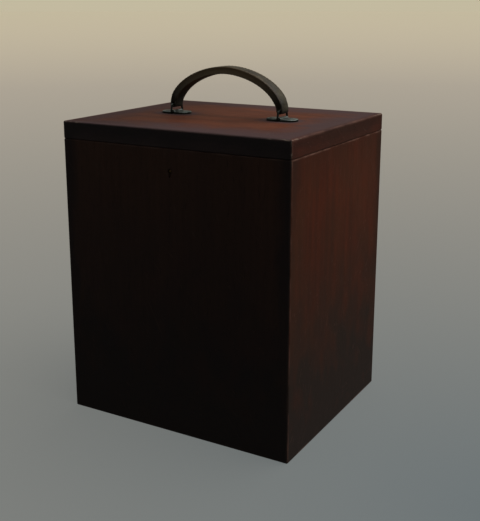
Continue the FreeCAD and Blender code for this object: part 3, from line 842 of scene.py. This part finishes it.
def select_faces(piece: bpy.types.Object, test: Callable[[Vector, Vector], bool]) -> None:
    """Selects faces of the piece in edit mode.

    Args:
        piece: the piece.
        test: takes a face's middle and its normal and says whether it is wanted.
    """
    bpy.ops.mesh.select_all(action="DESELECT")
    mesh = bmesh.from_edit_mesh(piece.data)
    for face in mesh.faces:
        face.select_set(test(face.calc_center_median(), face.normal))
    mesh.select_flush(True)
    bmesh.update_edit_mesh(piece.data)


def extrude_by(move: Vector) -> None:
    """Extrudes what is selected in edit mode along a vector."""
    bpy.ops.mesh.extrude_region_move(TRANSFORM_OT_translate={"value": move})


def resize_about(middle: Vector, factors: tuple[float, float, float]) -> None:
    """Resizes what is selected in edit mode about a point."""
    bpy.ops.transform.resize(value=factors, center_override=middle)


def close_mesh() -> None:
    """Merges the doubles of the piece in edit mode, turns its faces outwards and leaves that mode."""
    bpy.ops.mesh.select_all(action="SELECT")
    bpy.ops.mesh.remove_doubles(threshold=MERGE_DISTANCE)
    bpy.ops.mesh.normals_make_consistent(inside=False)
    bpy.ops.object.mode_set(mode="OBJECT")


def round_edges(piece: bpy.types.Object, width: float, segments: int, sharp_degrees: float) -> None:
    """Rounds the sharp edges of a piece.

    Args:
        piece: the piece.
        width: how far the rounding reaches from an edge.
        segments: how many facets it has.
        sharp_degrees: edges that turn by more than this are rounded.
    """
    rounding = piece.modifiers.new("rounding", "BEVEL")
    rounding.width = width
    rounding.segments = segments
    rounding.limit_method = "ANGLE"
    rounding.angle_limit = math.radians(sharp_degrees)


def finish_piece(piece: bpy.types.Object, name: str, material: bpy.types.Material, body: str,
                 smooth_degrees: float = 35.0) -> bpy.types.Object:
    """Applies the place and modifiers of a piece, dresses it and hangs it on its body.

    Args:
        piece: the piece.
        name: its name.
        material: its finish.
        body: the body that it moves with.
        smooth_degrees: edges flatter than this are shaded smooth.

    Returns:
        The piece.
    """
    deselect_all()
    bpy.context.view_layer.objects.active = piece
    piece.select_set(True)
    for modifier in list(piece.modifiers):
        bpy.ops.object.modifier_apply(modifier=modifier.name)
    bpy.ops.object.transform_apply(location=True, rotation=True, scale=True)
    bpy.ops.object.shade_smooth_by_angle(angle=math.radians(smooth_degrees))
    piece.name = name
    piece.data.materials.clear()
    piece.data.materials.append(material)
    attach(piece, body)
    log.info("%s: %d faces, on %s", name, len(piece.data.polygons), body)
    return piece


def dress_node(node: str, material: bpy.types.Material) -> None:
    """Gives a piece of the frame its finish.

    Args:
        node: the piece's name.
        material: its finish.
    """
    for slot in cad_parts[node].material_slots:
        slot.material = material
    log.info("%s: dressed in %s", node, material.name)


@dataclass
class WoodenPieces:
    """A set of wooden pieces of the frame that share a finish, each with the way that its grain runs."""

    finish: Union[StainedMahogany, PlanedWood]
    cuts: dict[str, GrainCut]
    first_board: int

    def dress(self) -> None:
        """Gives each piece a material of its own."""
        for board, (node, cut) in enumerate(self.cuts.items(), self.first_board):
            dress_node(node, self.finish.material(node + "_" + type(self.finish).__name__, cut, board))


@dataclass
class MetalPieces:
    """A set of metal pieces of the frame that share a finish."""

    name: str
    finish: AgedMetal
    nodes: tuple[str, ...]

    def dress(self) -> None:
        """Gives all the pieces one material."""
        material = self.finish.material(self.name)
        for node in self.nodes:
            dress_node(node, material)


@dataclass
class CarryingHandle:
    """Moulded leather grip that hangs in two wire rings, with its folded ends and its stitching.

    A share of the grip's way is 0 at its left end and 1 at its right one. A stitch's tip and sink are shares
    of its radius, and its inset is a share of the margin.
    """

    spacing: float = 0.143
    rise: float = 0.0427
    bow: float = 1.1
    eye_height: float = 0.3615
    end_width: float = 0.0152
    base_thickness: float = 0.0060
    swelling: float = 0.27
    swell_share: float = 0.11
    start_share: float = 0.022
    steps: int = 48

    margin: float = 0.0028
    crown_steps: tuple[tuple[float, float], ...] = ((0.0024, 0.0004), (0.0026, 0.0002))
    lining_facing: float = 0.8
    lining_rise: float = 0.0004
    edge_groove: float = 0.0016
    groove_depth: float = 0.0003
    body_rounding: float = 0.0006

    fold_shares: tuple[float, ...] = (0.0, 0.03, 0.058, 0.085)
    fold_reaches: tuple[float, ...] = (0.0038, 0.0039, 0.0041, 0.00425)
    fold_thicknesses: tuple[float, ...] = (0.0022, 0.0016, 0.0011, 0.0006)
    fold_overlap: float = 0.0003
    fold_steps: int = 14
    fold_rounding: float = 0.0005

    stitch_start: float = 0.055
    stitch_trials: int = 2000
    stitch_pitch: float = 0.0042
    stitch_length: float = 0.0030
    stitch_radius: float = 0.00045
    stitch_tip: tuple[float, float] = (0.45, 0.35)
    stitch_inset: float = 0.52
    stitch_sink: float = 0.3
    stitch_slant: float = 0.16

    bar_height: float = 0.3515
    ring_foot_width: float = 0.0248
    ring_head_width: float = 0.0204
    ring_corner: float = 0.0020
    corner_steps: int = 7
    wire_radius: float = 0.0012
    wire_sides: int = 16

    def centre(self, share: float) -> Vector:
        """Works out the line along which the grip is drawn, a flattened arch.

        Args:
            share: the share of the grip's way.

        Returns:
            The middle of the grip there.
        """
        across, up = math.cos(math.pi * share), max(math.sin(math.pi * share), 0.0)
        run = self.spacing / 2 * math.copysign(abs(across) ** self.bow, across)
        return Vector((-run, 0.0, self.eye_height + self.rise * up ** self.bow))

    def lean(self, share: float) -> float:
        """Works out how far the grip has turned from upright.

        Args:
            share: the share of the grip's way.

        Returns:
            The turn about Y there, in radians.
        """
        across, up = math.cos(math.pi * share), max(math.sin(math.pi * share), 0.0)
        ease = 2 - self.bow
        slope = math.copysign(abs(across) ** ease, across)
        return math.atan2(self.spacing / 2 * up ** ease, self.rise * slope)

    def swell(self, share: float) -> float:
        """Gives how much larger the grip is at a share of its way than at its ends."""
        near = min(min(share, 1 - share) / self.swell_share, 1.0)
        return 1 + self.swelling * near * near * (3 - 2 * near)

    def out_at(self, share: float) -> Vector:
        """Gives the direction out of the arch at a share of its way."""
        return Vector((-math.cos(self.lean(share)), 0.0, math.sin(self.lean(share))))

    def outwards(self, point: Vector) -> Vector:
        """Works out the direction out of the arch.

        Args:
            point: a point on or near the arch.

        Returns:
            The direction there.
        """
        up = max((point.z - self.eye_height) / self.rise, 0.0) ** (1 / self.bow)
        across = math.copysign((abs(point.x) * 2 / self.spacing) ** (1 / self.bow), -point.x)
        return self.out_at(math.atan2(up, across) / math.pi)

    def build_body(self) -> bpy.types.Object:
        """Models the arch: a strap drawn along its line, with a crowned middle between stitched margins.

        Returns:
            The piece, not yet dressed.
        """
        span = 1 - 2 * self.start_share
        shares = [self.start_share + span * step / self.steps for step in range(self.steps + 1)]
        start = self.centre(shares[0])
        piece = start_strap(start, self.lean(shares[0]))
        resize_about(start, (self.base_thickness, self.end_width, self.base_thickness))
        for before, after in zip(shares, shares[1:]):
            end = self.centre(after)
            extrude_by(end - self.centre(before))
            bpy.ops.transform.rotate(value=self.lean(before) - self.lean(after), orient_axis="Y",
                                     center_override=end)
            growth = self.swell(after) / self.swell(before)
            resize_about(end, (growth, growth, growth))
        bpy.ops.mesh.select_all(action="SELECT")
        bpy.ops.mesh.normals_make_consistent(inside=False)
        for inwards, rise in self.crown_steps:
            select_faces(piece, lambda middle, normal: normal.dot(self.outwards(middle)) > SQUARE
                         and abs(middle.y) < self.margin)
            bpy.ops.mesh.inset(thickness=inwards, depth=rise)
        select_faces(piece, lambda middle, normal: normal.dot(self.outwards(middle)) < -self.lining_facing)
        bpy.ops.mesh.inset(thickness=self.margin, depth=self.lining_rise)
        select_faces(piece, lambda middle, normal: abs(normal.y) > SQUARE)
        bpy.ops.mesh.inset(thickness=self.edge_groove, depth=-self.groove_depth)
        bpy.ops.object.mode_set(mode="OBJECT")
        round_edges(piece, self.body_rounding, segments=3, sharp_degrees=28.0)
        return piece

    def build_fold(self, end: End) -> bpy.types.Object:
        """Models the end of the outer leather, folded round the ring's bar and skived where it ends.

        Args:
            end: the end of the handle.

        Returns:
            The piece, not yet dressed.
        """
        eye = Vector((end.value * self.spacing / 2, 0.0, self.eye_height))
        shares = [share if end is End.LEFT else 1 - share for share in self.fold_shares]
        outer, inner = [
            [self.centre(share) + self.out_at(share) * (face * (reach - thick / 2))
             for share, reach, thick in zip(shares, self.fold_reaches, self.fold_thicknesses)]
            for face in (1, -1)]
        piece = start_strap(outer[-1])
        width = self.end_width + 2 * self.fold_overlap
        resize_about(outer[-1], (self.fold_thicknesses[-1], width, 1.0))
        self.draw_fold(outer[::-1], self.fold_thicknesses[::-1])
        bpy.ops.mesh.spin(steps=self.fold_steps, angle=-end.value * math.pi, center=eye,
                          axis=(0.0, 1.0, 0.0))
        self.draw_fold(inner, self.fold_thicknesses)
        close_mesh()
        round_edges(piece, self.fold_rounding, segments=2, sharp_degrees=40.0)
        return piece

    def draw_fold(self, places: list[Vector], thicknesses: tuple[float, ...]) -> None:
        """Extrudes the end of a fold from place to place.

        Args:
            places: the places of its middle, from where it is now.
            thicknesses: how thick it is at each.
        """
        for index in range(1, len(places)):
            extrude_by(places[index] - places[index - 1])
            resize_about(places[index], (thicknesses[index] / thicknesses[index - 1], 1.0, 1.0))

    def stitch_shares(self) -> list[float]:
        """Works out where stitches lie, one pitch apart along the arch.

        Returns:
            Their shares.
        """
        span, steps = 1 - 2 * self.stitch_start, self.stitch_trials
        trials = [self.stitch_start + span * step / steps for step in range(steps + 1)]
        shares, run = [], 0.0
        for before, after in zip(trials, trials[1:]):
            if run <= 0:
                shares.append(before)
                run = self.stitch_pitch
            run -= (self.centre(after) - self.centre(before)).length
        return shares

    def stitch_place(self, share: float, side: int, face: int) -> Matrix:
        """Works out how a stitch is brought from the origin into the leather.

        Args:
            share: where along the grip it lies.
            side: -1 at the front margin, 1 at the back one.
            face: 1 on the crown, -1 on the lining.

        Returns:
            The move.
        """
        swell = self.swell(share)
        edge = side * (self.end_width * swell / 2 - self.margin * self.stitch_inset)
        height = face * (self.base_thickness * swell / 2 - self.stitch_radius * self.stitch_sink)
        place = self.centre(share) + self.out_at(share) * height + Vector((0.0, edge, 0.0))
        turn = Matrix.Rotation(self.lean(share), 4, "Y")
        slant = Matrix.Rotation(self.stitch_slant * side * face, 4, "X")
        return Matrix.Translation(place) @ turn @ slant

    def build_stitches(self) -> bpy.types.Object:
        """Models one stitch and copies it along both margins, above and below.

        Returns:
            All the stitches as one piece, not yet dressed.
        """
        deselect_all()
        bpy.ops.mesh.primitive_cylinder_add(vertices=8, radius=self.stitch_radius, depth=self.stitch_length)
        stitch = bpy.context.object
        start_editing(stitch)
        select_faces(stitch, lambda middle, normal: abs(normal.z) > SQUARE)
        inwards, rise = self.stitch_tip
        bpy.ops.mesh.inset(thickness=self.stitch_radius * inwards, depth=self.stitch_radius * rise)
        bpy.ops.object.mode_set(mode="OBJECT")
        places = [self.stitch_place(share, side, face)
                  for share in self.stitch_shares() for side in (-1, 1) for face in (-1, 1)]
        copies = []
        for place in places:
            copy = stitch.copy()
            copy.data = stitch.data.copy()
            copy.data.transform(place)
            bpy.context.scene.collection.objects.link(copy)
            copies.append(copy)
        deselect_all()
        bpy.data.objects.remove(stitch)
        for copy in copies:
            copy.select_set(True)
        bpy.context.view_layer.objects.active = copies[0]
        bpy.ops.object.join()
        return bpy.context.object

    def build_ring(self, end: End) -> bpy.types.Object:
        """Models a ring of round wire: a circle drawn along each side and spun round each corner.

        Args:
            end: the end of the handle.

        Returns:
            The piece, not yet dressed.
        """
        x = end.value * self.spacing / 2
        half_foot, half_head = self.ring_foot_width / 2, self.ring_head_width / 2
        tall = self.eye_height - self.bar_height
        low, high = self.bar_height + self.ring_corner, self.eye_height - self.ring_corner
        slant = math.atan2(half_foot - half_head, tall)
        foot_turn, head_turn = math.pi / 2 + slant, math.pi / 2 - slant
        foot_cut, head_cut = [self.ring_corner * math.tan(turn / 2) for turn in (foot_turn, head_turn)]
        side = tall / math.cos(slant) - foot_cut - head_cut
        foot, head = half_foot - foot_cut, half_head - head_cut
        climb = Vector((0.0, -math.sin(slant), math.cos(slant))) * side
        runs = [
            (Vector((0.0, 2 * foot, 0.0)), Vector((x, foot, low)), foot_turn),
            (climb, Vector((x, head, high)), head_turn),
            (Vector((0.0, -2 * head, 0.0)), Vector((x, -head, high)), head_turn),
            (Vector((0.0, climb.y, -climb.z)), Vector((x, -foot, low)), foot_turn),
        ]
        deselect_all()
        start = (x, -foot, self.bar_height)
        bpy.ops.mesh.primitive_circle_add(vertices=self.wire_sides, radius=self.wire_radius, location=start,
                                          rotation=(math.pi / 2, 0.0, 0.0))
        piece = bpy.context.object
        bpy.ops.object.transform_apply(location=True, rotation=True, scale=True)
        start_editing(piece, Pick.EDGES)
        for move, corner, turn in runs:
            extrude_by(move)
            bpy.ops.mesh.spin(steps=self.corner_steps, angle=-turn, center=corner, axis=(1.0, 0.0, 0.0))
        close_mesh()
        return piece

    def build(self, leather: bpy.types.Material, thread: bpy.types.Material,
              wire: bpy.types.Material) -> None:
        """Models and dresses the grip, its stitching and both rings.

        Args:
            leather: the grip's finish.
            thread: the stitches' finish.
            wire: the rings' finish.
        """
        body = finish_piece(self.build_body(), "grip_body", leather, "handle_grip")
        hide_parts("handle_grip")
        stitches = self.build_stitches()
        finish_piece(stitches, "grip_stitches", thread, "handle_grip")
        for end in End:
            side = end.name.lower()
            fold = self.build_fold(end)
            finish_piece(fold, "grip_fold_" + side, leather, "handle_grip")
            ring = self.build_ring(end)
            node = "handle_ring_" + side
            finish_piece(ring, "wire_ring_" + side, wire, node, smooth_degrees=60.0)
            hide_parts(node)


@dataclass
class Studio:
    """Plain floor, soft lamps and the camera at the photograph's angle."""

    near_floor: str = "#6b7477"
    pale_floor: str = "#c9bba6"
    far_floor: str = "#c2b99f"
    far_span: Span = (0.6, 0.95)
    floor_middle: tuple[float, float, float] = (0.39, -0.11, 0.0)
    floor_radius: float = 40.0
    half_way: float = 3.0
    glow_share: float = 0.72
    bounce_share: float = 0.22
    wall: str = "#c3baa0"
    ceiling: str = "#5f6263"
    wall_span: Span = (0.03, 0.5)
    room_light: tuple[float, float, float, float] = (1.0, 0.98, 0.95, 1.0)
    ambient: float = 0.09
    camera_place: tuple[float, float, float] = (0.52196, -0.88466, 0.48202)
    azimuth: float = 30.003
    elevation: float = 14.114
    roll: float = -0.027
    focal_pixels: float = 878.37
    centre_shift: tuple[float, float] = (-3.87, -39.25)
    picture: tuple[int, int] = (480, 521)
    sensor: float = 36.0
    clipping: tuple[float, float] = (0.01, 200.0)

    def seen_directly(self, tree: bpy.types.NodeTree) -> Socket:
        """Tells rays that see a surface, straight or in a reflection, from those that only carry light.

        Args:
            tree: the node tree.

        Returns:
            1 where the surface is seen and 0 where it lights something.
        """
        path = add_node(tree, "LightPath", out=None).outputs
        seen = add_node(tree, "Math", (path["Is Camera Ray"], path["Is Glossy Ray"]), operation="MAXIMUM")
        return add_node(tree, "Math", (seen, path["Is Transmission Ray"]), operation="MAXIMUM")

    def build_floor(self) -> None:
        """Lays a round floor that grows paler and warmer with distance."""
        deselect_all()
        bpy.ops.mesh.primitive_circle_add(vertices=96, radius=self.floor_radius, fill_type="NGON")
        floor = bpy.context.object
        floor.name = "studio_floor"
        material, tree, shader = new_material("painted_studio_floor")
        place = add_node(tree, "TexCoord", out="Object")
        away = add_node(tree, "VectorMath", (place, self.floor_middle), out="Value", operation="DISTANCE")
        beyond = add_node(tree, "Math", (away, self.half_way), operation="ADD")
        reach = add_node(tree, "Math", (away, beyond), operation="DIVIDE")
        shown = add_node(tree, "Mix", {0: reach, 6: self.near_floor, 7: self.pale_floor}, out=2,
                         data_type="RGBA")
        warm = add_node(tree, "MapRange", (reach, *self.far_span))
        shown = add_node(tree, "Mix", {0: warm, 6: shown, 7: self.far_floor}, out=2, data_type="RGBA")
        dim = add_node(tree, "VectorMath", {0: shown, "Scale": self.bounce_share}, operation="SCALE")
        lit = add_node(tree, "VectorMath", {0: shown, "Scale": 1 - self.glow_share}, operation="SCALE")
        seen = self.seen_directly(tree)
        colour = add_node(tree, "Mix", {0: seen, 6: dim, 7: lit}, out=2, data_type="RGBA")
        glow = add_node(tree, "Math", (seen, self.glow_share), operation="MULTIPLY")
        tree.links.new(colour, shader.inputs["Base Color"])
        tree.links.new(shown, shader.inputs["Emission Color"])
        tree.links.new(glow, shader.inputs["Emission Strength"])
        shader.inputs["Roughness"].default_value = 0.9
        shader.inputs["Specular IOR Level"].default_value = 0.1
        floor.data.materials.append(material)

    def build_world(self) -> None:
        """Sets a pale world to look at, which lights the case at a lower, even level."""
        world = bpy.data.worlds.new("studio_world")
        world.use_nodes = True
        bpy.context.scene.world = world
        tree = world.node_tree
        heading = add_node(tree, "TexCoord", out="Generated")
        climb = add_node(tree, "SeparateXYZ", (heading,), out="Z")
        climb = add_node(tree, "MapRange", (climb, *self.wall_span), interpolation_type="SMOOTHSTEP")
        room = add_node(tree, "Mix", {0: climb, 6: self.wall, 7: self.ceiling}, out=2, data_type="RGBA")
        seen = self.seen_directly(tree)
        colour = add_node(tree, "Mix", {0: seen, 6: self.room_light, 7: room}, out=2, data_type="RGBA")
        strength = add_node(tree, "MapRange", (seen, 0.0, 1.0, self.ambient, 1.0))
        background = tree.nodes["Background"]
        tree.links.new(colour, background.inputs["Color"])
        tree.links.new(strength, background.inputs["Strength"])

    def add_lamp(self, name: str, heading: float, height: float, softness: float, strength: float,
                 colour: str) -> None:
        """Adds a broad, distant lamp that shines on the case from one side.

        Args:
            name: its name.
            heading: where it stands, in degrees round from the right side towards the back.
            height: how high it stands, in degrees.
            softness: how wide it looks, in degrees.
            strength: its strength.
            colour: its colour.
        """
        lamp = bpy.data.lights.new(name, "SUN")
        lamp.angle = math.radians(softness)
        lamp.energy = strength
        lamp.color = linear(colour)[:3]
        holder = bpy.data.objects.new(name, lamp)
        bpy.context.scene.collection.objects.link(holder)
        turn = Matrix.Rotation(math.radians(heading + 90), 4, "Z")
        holder.matrix_world = turn @ Matrix.Rotation(math.radians(90 - height), 4, "X")

    def build_camera(self) -> None:
        """Sets the camera that was fitted to the photograph."""
        data = bpy.data.cameras.new("photo_camera")
        long_side = max(self.picture)
        data.sensor_width = self.sensor
        data.lens = self.focal_pixels * self.sensor / long_side
        data.shift_x = -self.centre_shift[0] / long_side
        data.shift_y = self.centre_shift[1] / long_side
        data.clip_start, data.clip_end = self.clipping
        camera = bpy.data.objects.new("photo_camera", data)
        bpy.context.scene.collection.objects.link(camera)
        turn = Matrix.Rotation(math.radians(self.azimuth), 4, "Z")
        tip = Matrix.Rotation(math.radians(90 - self.elevation), 4, "X")
        level = Matrix.Rotation(math.radians(self.roll), 4, "Z")
        camera.matrix_world = Matrix.Translation(self.camera_place) @ turn @ tip @ level
        bpy.context.scene.camera = camera

    def build(self) -> None:
        """Sets up the whole studio."""
        bpy.context.scene.view_settings.view_transform = "Standard"
        self.build_floor()
        self.build_world()
        self.add_lamp("key_lamp", heading=32.0, height=60.0, softness=75.0, strength=3.0, colour="#fff8f0")
        self.add_lamp("fill_lamp", heading=215.0, height=30.0, softness=60.0, strength=0.12, colour="#f2f5ff")
        self.build_camera()


def wooden_pieces() -> list[WoodenPieces]:
    """Chooses the finish and the cut of every wooden piece.

    Returns:
        The sets of pieces, those outside first.
    """
    cut = GrainCut
    stained = StainedMahogany()
    # The rims have darkened under the hands that lift the lid
    handled = replace(stained, light="#50251a", middle="#37221b", dark="#301a13", bloom="#2f201d",
                      border_share=0.4)
    # The front is the same stain painted nearly black, painted shade for the face that the lamp does not
    # reach
    shaded_front = replace(stained, light="#38261f", middle="#2e201b", dark="#251a16", pore="#17100e",
                     bloom="#201d1e", foot_bloom="#262221", rubbed="#3d302b", border_share=0.8)
    # The lid's front rim, painted darker and greyer still, also painted shade
    shaded_front_rim = replace(shaded_front, light="#302728", middle="#2b2526", dark="#252021", bloom="#242223")
    # The panel has faded and lost some of its red, as the face that is always up, and carries painted shade
    # over its left end
    faded = replace(stained, light="#6e3d2a", middle="#48281e", dark="#432318", rubbed="#735a4e",
                    border=0.037, border_share=0.9, plate_halo=0.95, painted_shade_left_end=0.45,
                    stain_patches=replace(stained.stain_patches, across_mm=22.0, along_mm=48.0))
    return [
        # The side and back boards carry painted shade in a band below the lid's edge
        WoodenPieces(replace(stained, painted_shade_under_lid=0.5), {
            "right_side_board": cut.UPRIGHT_FACING_X,
            "back_board": cut.UPRIGHT_FACING_Y,
            "left_side_board": cut.UPRIGHT_FACING_X,
        }, first_board=1),
        WoodenPieces(handled, {
            "lid_rim_back": cut.ALONG_X_FACING_Y,
            "lid_rim_left": cut.ALONG_Y_FACING_X,
            "lid_rim_right": cut.ALONG_Y_FACING_X,
        }, first_board=4),
        WoodenPieces(shaded_front, {"front_board": cut.UPRIGHT_FACING_Y}, first_board=14),
        WoodenPieces(shaded_front_rim, {"lid_rim_front": cut.ALONG_X_FACING_Y}, first_board=15),
        WoodenPieces(faded, {"lid_panel": cut.ALONG_X_FACING_Z}, first_board=12),
        WoodenPieces(PlanedWood(), {
            "bottom_board": cut.ALONG_X_FACING_Z,
            "lid_locating_strip_left": cut.ALONG_Y_FACING_X,
            "lid_locating_strip_right": cut.ALONG_Y_FACING_X,
            "accessory_rack": cut.ALONG_Y_FACING_Z,
            "rack_batten_front": cut.ALONG_X_FACING_Y,
            "rack_batten_back": cut.ALONG_X_FACING_Y,
            "foot_guide_left": cut.ALONG_Y_FACING_Z,
            "foot_guide_right": cut.ALONG_Y_FACING_Z,
            "foot_guide_back": cut.ALONG_X_FACING_Z,
        }, first_board=20),
    ]


def metal_pieces(steel: AgedMetal) -> list[MetalPieces]:
    """Chooses the finish of every metal piece but the rings.

    Args:
        steel: the finish of the steel that shows outside.

    Returns:
        The sets of pieces.
    """
    # Cast and rolled brass, tarnished: brown-yellow with a brighter yellow where it is rubbed
    brass = AgedMetal(bright="#8c764e", dull="#625033", patch_and_shade="#3c3022", roughness=0.46)
    # The pin in the keyhole, blackened by years of an oiled key
    oiled_brass = AgedMetal(bright="#5c4c30", dull="#3b3020", patch_and_shade="#241d14", roughness=0.5)
    # Cut steel bolt, oiled: darker and smoother than the plates outside
    oiled_steel = AgedMetal(bright="#8d9093", dull="#5e6063", patch_and_shade="#3f3b36", roughness=0.30)
    return [
        MetalPieces("filed_steel_plates", steel, (
            "handle_plate_left", "handle_plate_right", "handle_plate_screws", "bottom_screws")),
        MetalPieces("tarnished_brass", brass, (
            "hinge_case_leaf_left", "hinge_case_leaf_right", "hinge_lid_leaf_left", "hinge_lid_leaf_right",
            "hinge_pin_left", "hinge_pin_right", "hinge_case_screws", "hinge_lid_screws",
            "lock_case", "lock_cap", "lock_screws", "link_plate", "link_plate_screws")),
        MetalPieces("blackened_brass_pin", oiled_brass, ("lock_key_pin",)),
        MetalPieces("oiled_steel_bolt", oiled_steel, ("lock_bolt",)),
    ]


def main() -> None:
    """Builds and dresses the sub-assemblies in order."""
    logging.basicConfig(level=logging.INFO, format="%(name)s %(message)s")
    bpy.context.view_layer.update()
    # Rolled steel: a dark, cool grey above, with painted shade that makes its sides and underside black
    steel = AgedMetal(bright="#78827f", dull="#525b5a", patch_and_shade="#1b1e1e", roughness=0.52, painted_side_shade=0.95)
    for pieces in (*wooden_pieces(), *metal_pieces(steel)):
        pieces.dress()
    wire = steel.material("drawn_steel_wire", GrainCut.ALONG_Y_FACING_Z)
    leather = BridleLeather().material("waxed_bridle_leather")
    thread = WaxedThread().material("waxed_linen_thread")
    CarryingHandle().build(leather, thread, wire)
    Studio().build()


if __name__ == "__main__":
    main()
